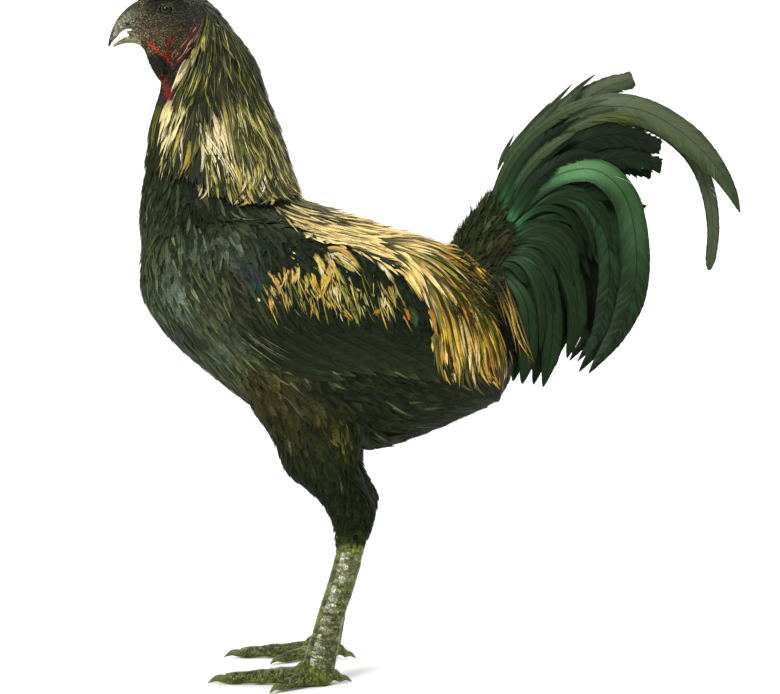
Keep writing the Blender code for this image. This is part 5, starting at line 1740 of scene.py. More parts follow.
# ---- tail plumes --------------------------------------------------------------------------------
PLUMES = {
    "rectrix_1": ([(496, 238, 3), (508, 194, 3.5), (532, 152, 4), (568, 113, 4.5), (602, 89, 5), (633, 78, 5)], 13.5, 0.8),
    "rectrix_2": ([(492, 242, 5), (501, 200, 6.5), (520, 161, 8), (549, 123, 9), (583, 86, 9)], 9.5, 0.0),
    "rectrix_3": ([(489, 244, 7), (498, 208, 9.5), (512, 169, 12.5), (533, 134, 13.5), (558, 103, 13.5)], 9.0, 0.0),
    "rectrix_4": ([(500, 246, 9), (526, 192, 18), (562, 152, 23), (612, 134, 26), (661, 145, 28)], 15.0, 0.8),
    "rectrix_5": ([(502, 250, 12), (534, 206, 22), (574, 174, 27), (620, 157, 30), (662, 165, 32)], 14.0, 0.7),
    "rectrix_6": ([(503, 254, 15), (535, 218, 26), (574, 196, 31), (614, 188, 34.5), (643, 210, 36)], 13.0, 0.5),
    "sickle_main": (
        [(494, 240, 8), (500, 196, 13), (521, 155, 17), (553, 127, 19), (588, 111, 21), (620, 106, 22), (652, 114, 22.5), (684, 134, 22.5), (711, 160, 22), (730, 188, 21), (740, 212, 20)],
        16.0, 0.0,
    ),
    "sickle_drooped": (
        [(498, 240, 8), (507, 197, 13), (529, 162, 17), (562, 137, 19), (598, 122, 21), (632, 119, 22), (664, 131, 22.5), (692, 156, 22.5), (707, 188, 22), (713, 228, 21), (709, 270, 20)],
        8.5, 0.8,
    ),
    "sickle_inner": (
        [(502, 250, 19), (532, 209, 29.5), (562, 193, 33), (591, 204, 36), (607, 240, 38), (609, 285, 38.5), (599, 330, 38), (578, 361, 36)],
        11.0, 0.0,
    ),
    "sickle_low": (
        [(502, 238, 21), (528, 198, 33), (560, 174, 37), (596, 170, 40.5), (624, 194, 43), (635, 235, 44), (635, 282, 44), (620, 328, 43), (589, 373, 41)],
        14.5, 0.0,
    ),
    "hanger_a": ([(498, 252, 24), (532, 238, 37.5), (558, 247, 43.5), (574, 280, 48), (577, 320, 49), (567, 358, 48)], 10.0, 0.0),
    "hanger_b": ([(494, 262, 28), (522, 255, 43), (542, 272, 49.5), (552, 308, 53.5), (551, 350, 53.5), (543, 387, 52)], 10.0, 0.0),
    "hanger_c": ([(492, 270, 36), (511, 280, 49), (526, 305, 56.5), (529, 345, 58.5), (522, 384, 57)], 9.0, 0.0),
}


def vane_width(s, blunt=0.0):
    """Half width along a plume as a share; blunt keeps the end broad."""
    rise = 0.34 + 0.66 * np.clip(s / 0.32, 0, 1) ** 0.8
    fall = np.clip((1.0 - s) / 0.30, 0, 1) ** 0.72
    round_end = np.clip((1.0 - s) / 0.05, 0, 1) ** 0.5
    fall = fall * (1 - blunt) + round_end * blunt * (0.72 + 0.28 * fall)
    return np.maximum(rise * fall, 0.08)


class Plumes:
    """Large feathers gathered into one piece: a shaft and two webs of barbs, swept well forward, that part in
    a few places."""

    def __init__(self):
        self.v, self.q, self.col, self.rim, self.rimw = [], [], [], [], []
        self.vane, self.barb, self.seed, self.glossy, self.bake = [], [], [], [], []
        self.base = 0
        self.count = 0

    def block(self, verts, colour, rim, rimw, vane, barb, seed, glossy, bake):
        m, k = verts.shape[:2]
        idx = np.arange(m * k).reshape(m, k) + self.base
        self.q.append(np.stack([idx[:-1, :-1], idx[:-1, 1:], idx[1:, 1:], idx[1:, :-1]], -1).reshape(-1, 4))
        self.v.append(verts.reshape(-1, 3))
        self.col.append(colour.reshape(-1, 3))
        self.rim.append(rim.reshape(-1, 3))
        self.rimw.append(np.full(m * k, rimw))
        self.vane.append(vane.reshape(-1, 2))
        self.barb.append(barb.reshape(-1, 2))
        self.seed.append(np.full(m * k, seed))
        self.glossy.append(np.full(m * k, glossy))
        self.bake.append(bake.reshape(-1, 2))
        self.base += m * k

    def add(self, shaft, face, width, colour, rng, blunt=0.0, pitch=0.0020, columns=6, sweep=1.9,
            run=0.09, gap=0.0010, curl=0.10, ragged=0.012, rimw=0.5, glossy=1.0, barest=0.03,
            shaft_radius=0.0010, bake_at=None, wear=0.0, cup=0.10, fray=0.10, cover=1.0):
        """shaft: m x 3 dense line; face: the vane's outer face; width: half width in metres; run: the length of
        web between partings; gap: how far a parting opens; wear: how much the edge is worn; colour(s, t, rng)
        gives the colours by share along and across."""
        m = len(shaft)
        seg = np.linalg.norm(np.diff(shaft, axis=0), axis=1)
        dist = np.concatenate([[0], np.cumsum(seg)])
        total = dist[-1]
        s_of = dist / total
        along = unit(np.gradient(shaft, axis=0))
        up = unit(face - (face * along).sum(1, keepdims=True) * along)
        side = np.cross(along, up)

        def frame_at(s):
            s = np.clip(s, 0, 1)
            return [np.stack([np.interp(s, s_of, arr[:, c]) for c in range(3)], -1) for arr in (shaft, along, up, side)]

        seed = rng.random()
        rows = max(int(total / pitch), 10)
        slot_u, slot_v = (self.count % 3) / 3, (self.count // 3) / 3
        self.count += 1
        t = np.linspace(0, 1, columns)
        for sign in (-1, 1):
            start = 0
            while start < rows:
                stop = min(start + max(int(rng.exponential(run) / pitch), 4), rows)
                if rows - stop < 4:
                    stop = rows
                i = np.arange(start, stop + 1)
                s0 = np.interp(i / rows, [0, 1], [barest, 1.0])
                pull = np.linspace(-1, 1, len(i)) ** 3
                open_ = gap * rng.uniform(0.2, 1.8) / total
                shift = -pull[:, None] * open_ * t[None, :] ** 1.5
                w = width * vane_width(s0, blunt) * (1 + ragged * rng.normal(0, 1, len(s0)))
                if wear:
                    teeth = np.abs(np.interp(i, np.arange(start, stop + 3, 3), rng.normal(0, 1, len(np.arange(start, stop + 3, 3)))))
                    w *= 1 - wear * np.clip(teeth, 0, 1) * smoothstep(0.45, 1.0, s0)
                # frayed corner at each end of a run of web
                w *= 1 - fray * rng.random() * np.abs(np.linspace(-1, 1, len(i))) ** 8
                reach = w[:, None] * t[None, :]
                lead = reach * sweep * (1 - 0.25 * s0[:, None])
                s = s0[:, None] + lead / total + shift
                over = np.maximum(s - 1.0, 0) * total * 0.35
                p, a, n_, b = frame_at(s)
                bend = -curl * reach * t[None, :] - cup * reach
                verts = p + b * (sign * reach * cover)[..., None] + n_ * bend[..., None] + a * over[..., None]
                verts += n_ * (rng.normal(0, 0.00025) * t[None, :])[..., None]
                tt = np.broadcast_to(sign * t[None, :], s.shape)
                col, rim = colour(np.clip(s, 0, 1), tt, rng)
                s0b = np.broadcast_to(s0[:, None], s.shape)
                vane = np.stack([(tt + 1) / 2, s0b], -1)
                barb = np.stack([sign * reach * 100, s0b * total * 100], -1)
                if bake_at is None:
                    bake = np.stack([slot_u + 0.01 + vane[..., 0] * 0.31, slot_v + 0.01 + vane[..., 1] * 0.31], -1)
                else:
                    bake = np.asarray(bake_at) + (vane - 0.5) * 0.003
                self.block(verts, col, rim, rimw, vane, barb, seed, glossy, bake)
                start = stop
        # the shaft: a thin quill that tapers to nothing
        q = min(m, 60)
        s = np.linspace(0, 0.985, q)
        p, a, n_, b = frame_at(s)
        r = shaft_radius * (1 - 0.86 * s)
        th = np.linspace(0, 2 * math.pi, 7)
        ring = p[:, None] + (b[:, None] * np.cos(th)[None, :, None] + n_[:, None] * (np.sin(th) * 0.8 + 0.15)[None, :, None]) * r[:, None, None]
        col, rim = colour(np.broadcast_to(s[:, None], (q, 7)), np.zeros((q, 7)), rng)
        vane = np.stack([np.full((q, 7), 0.5), np.broadcast_to(s[:, None], (q, 7))], -1)
        barb = np.stack([np.full((q, 7), 3.0), np.broadcast_to(s[:, None] * total * 100, (q, 7))], -1)
        if bake_at is None:
            bake = np.stack([slot_u + 0.01 + vane[..., 0] * 0.31, slot_v + 0.01 + vane[..., 1] * 0.31], -1)
        else:
            bake = np.asarray(bake_at) + (vane - 0.5) * 0.003
        self.block(ring, col * 0.45, rim * 0.45, 0.0, vane, barb, seed, 0.2, bake)

    def build(self, name, look, slot):
        me = quick_mesh(name, np.vstack(self.v), np.vstack(self.q))
        loop_uv(me, "OFBake", np.vstack(self.bake))
        loop_uv(me, "Vane", np.vstack(self.vane))
        loop_uv(me, "Barb", np.vstack(self.barb))
        point_colours(me, "Col", np.vstack(self.col))
        point_colours(me, "Rim", np.vstack(self.rim))
        for key in ("rimw", "seed", "glossy"):
            point_values(me, key, np.concatenate(getattr(self, key)))
        made = link(name, me, look)
        print(name, len(me.polygons) * 2, "triangles")
        return made


def plume_line(points, side, count=90, mirrored=True):
    turn = np.array([1, side, 1]) if mirrored else np.ones(3)
    return smooth([at(u, v, -y / 1000) * turn for u, v, y in points], count)


def tone_field(stops, edge, bands=(), painted_highlight=None, inner=None):
    """A plume's colour by its share along and across: stops (share, colour) along, bands (centre, width,
    amount, lean) of painted highlight, and another colour for the inner web."""
    at_s = [a for a, _ in stops]
    cols = np.array([c for _, c in stops])

    def colour(s, t, rng):
        col = np.stack([np.interp(s, at_s, cols[:, c]) for c in range(3)], -1)
        if inner is not None:
            col = mix(col, np.broadcast_to(inner, col.shape), smoothstep(0.1, 0.8, t) * 0.8)
        # painted highlight: a lighter colour mixed in over bands along the plume
        if painted_highlight is not None:
            highlight_weight = sum(a * np.exp(-(((s - c) / w) ** 2)) * (1 - 0.4 * np.abs(t - lean)) for c, w, a, lean in bands)
            col = mix(col, np.broadcast_to(painted_highlight, col.shape), np.clip(highlight_weight, 0, 1))
        return col, np.broadcast_to(edge, col.shape)

    return colour


# plume colours: along most plumes the colour is lightest where the plume arches over the top, partly its own tone and
# partly painted highlight; the bands mixed in are painted highlight
GREY_PLUME = tone_field([(0, srgb(30, 46, 22)), (0.25, srgb(52, 68, 38)), (0.5, srgb(66, 77, 54)), (0.8, srgb(60, 69, 49)), (1, srgb(38, 48, 28))], srgb(34, 42, 24),
                        [(0.40, 0.14, 0.6, 0.6), (0.68, 0.14, 0.30, 0.0)], srgb(78, 86, 64), inner=srgb(46, 58, 24))
DARK_PLUME = tone_field([(0, srgb(36, 54, 28)), (0.5, srgb(46, 62, 36)), (1, srgb(54, 62, 42))], srgb(20, 26, 13),
                        [(0.85, 0.12, 0.6, -0.4)], srgb(70, 74, 56))
BLACK_WEB = tone_field([(0, srgb(14, 22, 9)), (0.5, srgb(17, 24, 12)), (1, srgb(15, 21, 10))], srgb(13, 18, 8),
                       [(0.5, 0.16, 0.3, -0.6)], srgb(30, 42, 21))
JADE_PLUME = tone_field([(0, srgb(20, 36, 14)), (0.16, srgb(34, 62, 30)), (0.32, srgb(70, 101, 57)), (0.46, srgb(36, 58, 26)), (0.66, srgb(22, 35, 12)), (0.84, srgb(13, 20, 8)), (1, srgb(12, 18, 8))],
                        srgb(18, 34, 12), [(0.30, 0.08, 0.7, 0.5), (0.56, 0.10, 0.15, -0.2)], srgb(86, 134, 92), inner=srgb(15, 26, 10))
GREEN_PLUME = tone_field([(0, srgb(20, 38, 16)), (0.22, srgb(40, 76, 43)), (0.42, srgb(22, 46, 22)), (0.7, srgb(15, 27, 12)), (1, srgb(12, 19, 9))], srgb(13, 26, 11),
                         [(0.20, 0.08, 0.8, 0.0)], srgb(66, 118, 78))
BLACK_PLUME = tone_field([(0, srgb(34, 36, 28)), (0.22, srgb(36, 54, 32)), (0.5, srgb(25, 40, 19)), (1, srgb(20, 30, 14))], srgb(12, 17, 9),
                         [(0.22, 0.10, 0.5, -0.3)], srgb(58, 76, 52))

PLUME_LOOKS = {
    "rectrix_1": (DARK_PLUME, SAGE_LOOK), "rectrix_2": (DARK_PLUME, NIGHT_LOOK), "rectrix_3": (DARK_PLUME, NIGHT_LOOK),
    "rectrix_4": (BLACK_WEB, NIGHT_LOOK), "rectrix_5": (BLACK_WEB, NIGHT_LOOK), "rectrix_6": (BLACK_WEB, NIGHT_LOOK),
    "sickle_main": (GREY_PLUME, SAGE_LOOK), "sickle_drooped": (DARK_PLUME, SAGE_LOOK),
    "sickle_inner": (GREEN_PLUME, GREEN_LOOK), "sickle_low": (JADE_PLUME, GREEN_LOOK),
    "hanger_a": (BLACK_PLUME, NIGHT_LOOK), "hanger_b": (BLACK_PLUME, NIGHT_LOOK), "hanger_c": (BLACK_PLUME, NIGHT_LOOK),
}


def outward(line, side, roll=0.0):
    """The vane's outer face: mostly sideways, rolled towards up."""
    return np.tile(np.array([0.0, -side * math.cos(roll), math.sin(roll)]), (len(line), 1))


seed = 100
for key, (points, half, blunt) in PLUMES.items():
    field, look = PLUME_LOOKS[key]
    if key == "sickle_main":
        todo = [("sickle_left", 1, True)]
    elif key == "sickle_drooped":
        todo = [("sickle_right", 1, False)]
        points = [(u, v, -y) for u, v, y in points]
    else:
        todo = [(f"{key}_left", 1, True), (f"{key}_right", -1, True)]
    for node, side, mirrored in todo:
        seed += 1
        rng = np.random.default_rng(seed)
        line = plume_line(points, side, mirrored=mirrored)
        piece = Plumes()
        worn = key.startswith("rectrix")
        piece.add(
            line, outward(line, -1 if node == "sickle_right" else side, 0.25), half / 1000, field, rng, blunt=blunt,
            run=0.10 if worn else 0.40, gap=0.0008 if worn else 0.0001, wear={"4": 0.30, "5": 0.35, "6": 0.30}.get(key[-1], 0.14) if worn else 0.04,
            fray=0.16 if worn else 0.05 if key == "sickle_drooped" else 0.015, pitch=0.0016,
        )
        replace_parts(piece.build("feather_" + node, look, "tail_feather"), node)

INNER = [
    ([(502, 250, 10), (534, 230, 15), (566, 234, 19), (588, 258, 21), (597, 300, 21), (594, 330, 21)], 13.0),
    ([(502, 254, 12), (532, 242, 18), (560, 250, 22), (578, 278, 24), (583, 316, 24)], 13.0),
    ([(500, 258, 14), (526, 252, 20), (550, 266, 25), (564, 298, 27), (567, 340, 27)], 12.0),
    ([(498, 262, 16), (520, 264, 24), (538, 284, 30), (548, 320, 32), (546, 366, 32)], 12.0),
]
# side coverts: more hanging feathers between the guides, on each side, and slim ones over the fan's front
for name, side in SIDES.items():
    rng = np.random.default_rng(300 + side)
    piece = Plumes()
    order = ["sickle_inner", "hanger_a", "hanger_b", "hanger_c"]
    lines = {g: plume_line(PLUMES[g][0], side, 60) for g in order + ["sickle_low", "sickle_main", "rectrix_2", "rectrix_3"]}
    for points, half in INNER:  # broad dark feathers deep between the hanging ones
        line = plume_line(points, side, 60)
        place = box_places(line[:1], outward(line[:1], side))[0]
        piece.add(line, outward(line, side, 0.2), half / 1000, BLACK_WEB, rng, blunt=0.5, pitch=0.0030, columns=4, run=0.15, gap=0.0004,
                  wear=0.2, glossy=0.3, shaft_radius=0.0005, bake_at=place)
    for i in range(84):
        x = rng.uniform(0, len(order) - 1.01)
        a, f = int(x), x - int(x)
        line = lines[order[a]] * (1 - f) + lines[order[a + 1]] * f
        cut = rng.uniform(0.36, 0.98) if x > 1 else rng.uniform(0.32, 0.74)
        line = smooth(line[: max(int(60 * cut), 12)][::6], 60)
        line = line + np.array([rng.normal(0, 0.003), -side * rng.uniform(-0.016, 0.003), rng.normal(0, 0.003)])
        line[:, 0] += np.linspace(0, rng.normal(0, 0.006), 60)
        field = [GREEN_PLUME, BLACK_PLUME][rng.choice(2, p=[0.4, 0.6])]
        place = box_places(line[:1], outward(line[:1], side))[0]
        piece.add(
            line, outward(line, side, rng.normal(0.2, 0.2)), rng.uniform(0.0030, 0.0062), field, rng,
            pitch=0.0032, columns=3, run=0.06, gap=0.0008, glossy=rng.uniform(0.1, 0.8), shaft_radius=0.0004, bake_at=place, sweep=2.6,
        )
    for i in range(34):  # slim dark feathers up the front of the fan
        a, b = rng.choice([["sickle_main", "rectrix_3"], ["rectrix_2", "rectrix_3"], ["sickle_low", "sickle_main"]], p=[0.4, 0.3, 0.3])
        f = rng.uniform(0, 1)
        line = lines[a] * (1 - f) + lines[b] * f
        cut = rng.uniform(0.26, 0.56)
        line = smooth(line[: max(int(60 * cut), 12)][::5], 50)
        line = line + np.array([rng.normal(0, 0.003), -side * rng.uniform(0.0, 0.008), rng.normal(0, 0.003)])
        line[:, 0] -= np.linspace(0, 1, 50) ** 2 * rng.uniform(0, 0.008)
        line[:, 2] += np.linspace(0, 1, 50) ** 2 * rng.uniform(0, 0.006)
        place = box_places(line[:1], outward(line[:1], side))[0]
        piece.add(
            line, outward(line, side, 0.25), rng.uniform(0.0045, 0.0075), [DARK_PLUME, GREY_PLUME, GREEN_PLUME][rng.choice(3, p=[0.5, 0.15, 0.35])], rng,
            pitch=0.0028, columns=4, run=0.05, gap=0.0012, glossy=0.4, shaft_radius=0.0005, bake_at=place,
        )
    piece.build(f"coat_coverts_{name}", NIGHT_LOOK, "tail_feather")

# flight feathers, laid along the folded wing
REMIGES = [
    ([(204, 286), (236, 330), (286, 367), (346, 379)], 8), ([(214, 280), (252, 326), (302, 358), (356, 375)], 8),
    ([(226, 276), (268, 322), (318, 352), (376, 374)], 9), ([(242, 276), (286, 320), (338, 347), (398, 376)], 9),
    ([(262, 280), (308, 322), (360, 347), (420, 379)], 10), ([(286, 286), (332, 325), (384, 350), (440, 382)], 10),
    ([(312, 292), (356, 328), (404, 352), (456, 380)], 10), ([(336, 298), (378, 330), (424, 354), (466, 372)], 10),
]
loose = np.random.default_rng(62)
SPIKES = [
    ([(499, 168, 11), (506, 150, 11), (516, 131, 11)], 2.4), ([(509, 152, 10), (529, 126, 9), (553, 99, 8)], 2.6),
    ([(531, 127, 8), (554, 103, 7), (574, 82, 6)], 2.6), ([(560, 103, 6), (579, 87, 5.5), (597, 73, 5)], 2.4),
    ([(545, 116, 8), (562, 100, 7), (585, 84, 6)], 1.8), ([(504, 160, 11), (516, 140, 10), (533, 120, 9)], 1.8),
]
parts, outs, broad, body = [], [], [], []
for side in (1, -1):
    for knots, half in SPIKES:
        path = smooth(knots, 11)
        parts.append([at(q[0], q[1], -q[2] / 1000) * np.array([1, side, 1]) for q in path])
        outs.append(np.tile([0.0, -side * 1.0, 0.0], (11, 1)))
        broad.append(half / 1000)
        body.append(np.tile(mix(srgb(42, 52, 32), srgb(66, 74, 54), loose.random()), (11, 1)))
    for k in range(8):
        a = np.array([(583 + 4.4 * k, 122 - 1.3 * k, 24.5), (611 + 3.4 * k, 121.5 - 0.9 * k, 25.0), (634 + 2.6 * k, 131 - 1.2 * k, 25.0)], float)
        a = a + loose.normal(0, 0.9, a.shape) * [1, 1, 0.2]
        path = smooth([tuple(q) for q in a], 11)
        parts.append([at(q[0], q[1], -q[2] / 1000) * np.array([1, side, 1]) for q in path])
        outs.append(np.tile([0.0, -side * 1.0, 0.0], (11, 1)))
        broad.append(loose.uniform(0.30, 0.60) / 1000)
        body.append(np.tile(mix(srgb(48, 62, 26), srgb(112, 122, 52), loose.random()), (11, 1)))
vanes(
    "coat_tail_barbs", np.array(parts), np.array(outs), np.array(broad), LANCE, 3, np.array(body), np.array(body) * 1.2, 0.5,
    SAGE_LOOK, loose, np.full(len(parts), 0.0004), np.full(len(parts), 0.0004), camber=0.2, sweep=1.0,
    ragged=0.05, tatter=0.08, glossy=np.zeros(len(parts)), roll=0.10,
)

# the band mixed in towards the tip is painted highlight
QUILL_PLUME = tone_field([(0, srgb(18, 22, 10)), (0.6, srgb(20, 25, 12)), (0.92, srgb(26, 31, 16)), (1, srgb(56, 60, 36))], srgb(34, 40, 20),
                         [(0.75, 0.2, 0.2, 0.5)], srgb(34, 40, 22))
for name, side in SIDES.items():
    rng = np.random.default_rng(340 + side)
    piece = Plumes()
    for i, (points, half) in enumerate(REMIGES):
        got = [on_coat(u, v, side) for u, v in smooth(points, 40)]
        line = np.array([g[0] for g in got])
        up = np.array([g[1] for g in got])
        for _ in range(6):
            line[1:-1] = 0.5 * line[1:-1] + 0.25 * (line[:-2] + line[2:])
            up[1:-1] = 0.5 * up[1:-1] + 0.25 * (up[:-2] + up[2:])
        rise = 0.0012 + 0.0010 * (len(REMIGES) - i) / len(REMIGES)
        line = line + unit(up) * (rise - 0.006 * (1 - np.linspace(0, 1, 40)[:, None]) ** 2)
        place = box_places(line[:1], up[:1])[0]
        piece.add(line, unit(up), half / 1000, QUILL_PLUME, rng, pitch=0.0026, columns=4, run=0.08, gap=0.0006, glossy=0.2,
                  shaft_radius=0.0007, bake_at=place, cup=0.05, rimw=0.35 + 0.5 * (i == 0))
    piece.build(f"coat_quills_{name}", WING_LOOK, "wing_feather")

# ---- beak, eyes, claws, spurs -------------------------------------------------------------------
def coloured(me, colour_of):
    n = len(me.vertices)
    co = np.empty(n * 3, np.float32)
    me.vertices.foreach_get("co", co)
    co = co.reshape(-1, 3).astype(float)
    point_colours(me, "Col", colour_of(co))
    return me


def beak_rings(stations, rings, around, ridge):
    rows = []
    for (u1, v1), (u2, v2), y, w in stations:
        top, low = at(u1, v1, 0), at(u2, v2, 0)
        rows.append([*((top + low) / 2), *((top - low) / 2), w / 1000])

    def shape(th, a, b):
        if ridge:  # a keel on top, straight cutting edges below
            return a * (1 + 0.10 * np.clip(a, 0, 1) ** 3), b * (1 - 0.30 * np.clip(a, 0, 1) ** 2)
        return a, b * (1 - 0.25 * np.clip(-a, 0, 1))

    return [
        section(r[:3], r[3:6], np.array([0, max(r[6], 0.0004), 0]), 2.3, around, shape)
        for r in smooth(rows, rings)
    ]


def mottle(co, scale):
    return np.array([noise.noise(Vector(p * scale)) for p in co])


CULMEN = [(140, 1), (132, 5.5), (125, 11), (118, 19), (113, 28), (109.5, 38), (108, 46)]


def upper_colour(co):
    u, v = layout_of(co)
    blot = mottle(co, 420)
    col = mix(srgb(104, 104, 84), srgb(150, 144, 116), smoothstep(-0.1, 0.4, blot))
    col = mix(col, srgb(70, 72, 56), smoothstep(0.0, -0.4, blot) * 0.8)
    low = line_distance(u, v, [(140, 28), (126, 29), (118, 35)])
    col = mix(col, srgb(152, 142, 108), smoothstep(4, 1.0, low) * 0.6)
    col = mix(col, srgb(30, 32, 22), smoothstep(3.6, 1.0, line_distance(u, v, CULMEN) + blot * 1.5) * 0.92)
    col = mix(col, srgb(20, 22, 15), smoothstep(116, 109, u + 0.25 * (30 - v)) * 0.85)
    col = mix(col, srgb(36, 38, 26), smoothstep(132, 140, u + blot * 6) * smoothstep(20, 10, v) * 0.8)
    col = col * 0.86
    col = mix(col, srgb(66, 68, 50), smoothstep(124, 137, u + blot * 9) * 0.75)
    col = mix(col, srgb(40, 43, 30), smoothstep(123, 136, u + blot * 6) * smoothstep(20, 9, v + blot * 6) * 0.9)
    col = mix(col, srgb(36, 38, 26), smoothstep(-0.05, 0.28, mottle(co + 0.7, 560)) * smoothstep(112, 126, u) * 0.80)
    col = mix(col, srgb(168, 164, 134), smoothstep(0.12, 0.40, mottle(co + 0.2, 640)) * smoothstep(141, 126, u) * smoothstep(8, 22, v) * 0.55)
    # painted shade: a near-black spot for the shade inside the nostril, over a shallow dent
    hole = np.hypot((u - 127.5) / 3.0, (v - 24.0 - 0.25 * (u - 127.5)) / 1.3)
    col = mix(col, srgb(14, 13, 9), smoothstep(1.4, 0.8, hole))
    return col


def lower_colour(co):
    u, v = layout_of(co)
    col = mix(srgb(84, 86, 40), srgb(132, 126, 88), smoothstep(116, 134, u) * 0.8)
    col = mix(col, srgb(46, 48, 28), smoothstep(0.0, 0.4, mottle(co, 480)) * 0.7)
    return mix(col, srgb(170, 162, 122), smoothstep(0.05, 0.4, mottle(co + 0.3, 520)) * smoothstep(2.6, 0.8, line_distance(u, v, [(142, 33), (126, 38), (113, 45.5)])) * 0.8)


v, f = ring_mesh(beak_rings(UPPER_BEAK, 70, 48, True))
u_, v_ = layout_of(v)
dent = smoothstep(1.4, 0.2, np.hypot((u_ - 127.5) / 2.8, (v_ - 24.0 - 0.25 * (u_ - 127.5)) / 1.6))
v = v.copy()
v[:, 1] -= np.sign(v[:, 1]) * dent * 0.0016
me = joined([(v, f)], "upper_beak_piece")
me.shade_smooth()
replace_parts(link("bill_upper", coloured(me, upper_colour), HORN_LOOK), "upper_beak")
v, f = ring_mesh(beak_rings(LOWER_BEAK, 50, 40, False))
me = joined([(v, f)], "lower_beak_piece")
me.shade_smooth()
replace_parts(link("bill_lower", coloured(me, lower_colour), HORN_LOOK), "lower_beak")

for name, side in SIDES.items():
    centre = EYE_PLACE * np.array([1, side, 1])
    v, f = ball((0, 0, 0), 1.0, n=48)
    v = v[:, [0, 2, 1]]
    disc = np.hypot(v[:, 0], v[:, 2])
    disc = np.where(v[:, 1] * -side > 0, disc, 1.0)
    bulge = smoothstep(0.72, 0.2, disc) * 0.06
    me = joined([(v * EYE_RADIUS * (1 + bulge[:, None]) + centre, f)], "eyeball")
    me.shade_smooth()
    point_values(me, "disc", disc)
    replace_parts(link("eyeball_" + name, me, EYE_LOOK), "eye_" + name)
    # lids: a thin roll round the eye and a fainter fold outside it, resting on the face
    parts = []
    for radius, thick, rise in ((0.0063, 0.00060, 0.0001), (0.0080, 0.00042, -0.0002)):
        ring = []
        for a in np.linspace(0, 2 * math.pi, 49)[:-1]:
            x, z = math.cos(a) * radius * (1.08 + 0.15 * abs(math.cos(a)) ** 8), math.sin(a) * radius * 0.93 - math.cos(a) * radius * 0.04
            probe = centre + np.array([x * 1.22, 0, z * 1.22])
            hit, _, _, _ = SKIN_TREE.ray_cast(Vector((probe[0], -side * 0.08, probe[2])), Vector((0, side, 0)))
            y = abs(hit[1]) if hit is not None else 0.0200
            ring.append([centre[0] + x, y, centre[2] + z])
        ring = np.array(ring)
        for _ in range(6):
            ring[:, 1] = 0.5 * ring[:, 1] + 0.25 * (np.roll(ring[:, 1], 1) + np.roll(ring[:, 1], -1))
        ring[:, 1] = -side * (ring[:, 1] + rise)
        parts.append(tube(list(ring) + [ring[0], ring[1]], [thick] * 50, 10, 110))
    me = joined(parts, "lid_piece")
    me.shade_smooth()
    n = len(me.vertices)
    point_values(me, "face", np.zeros(n))
    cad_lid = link("lid_" + name, coloured(me, lambda co: mix(srgb(86, 90, 66), srgb(32, 35, 25), smoothstep(-0.25, 0.15, mottle(co, 620)))), SKIN_LOOK)

CLAW = (srgb(96, 98, 52), srgb(84, 86, 40))
for name, side in SIDES.items():
    for toe, d in TOES.items():
        points, radii, ahead, ankle = toe_line(toe, name, side)
        r1 = d["tip"] / 1000
        end, reach = points[-1] - ahead * 0.0012, d["claw"] / 1000 + 0.0012
        drop = end[2] - 0.0014
        line = [end, end + ahead * reach * 0.5 + np.array([0, 0, 0.0006]), end + ahead * reach - np.array([0, 0, drop])]
        v, f = tube(line, [r1 * 0.78, r1 * 0.60, 0.0005], 20, 24, floor=0.0003)
        me = joined([(v, f)], "claw_piece")
        me.shade_smooth()
        tip = line[-1]
        made = link(
            f"nail_{toe}_{name}",
            coloured(me, lambda co, tip=tip: mix(CLAW[1], CLAW[0], smoothstep(0.016, 0.003, np.linalg.norm(co - tip, axis=1)))),
            HORN_LOOK,
        )
        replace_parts(made, f"claw_{toe}_{name}")
    rows = shank_rows(name, side, 9)
    base = rows[6, :3]
    inward = np.array([0.45, side * 0.85, 0.0])
    inward /= np.linalg.norm(inward)
    v, f = tube(
        [base + inward * 0.004, base + inward * 0.0135, base + inward * 0.0205 + np.array([0.0015, 0, 0.0015])],
        [0.0052, 0.0042, 0.0010], 20, 24,
    )
    me = joined([(v, f)], "spur_piece")
    me.shade_smooth()
    made = link("spur_horn_" + name, coloured(me, lambda co: np.tile(srgb(104, 100, 72), (len(co), 1))), HORN_LOOK)
    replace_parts(made, "spur_" + name)

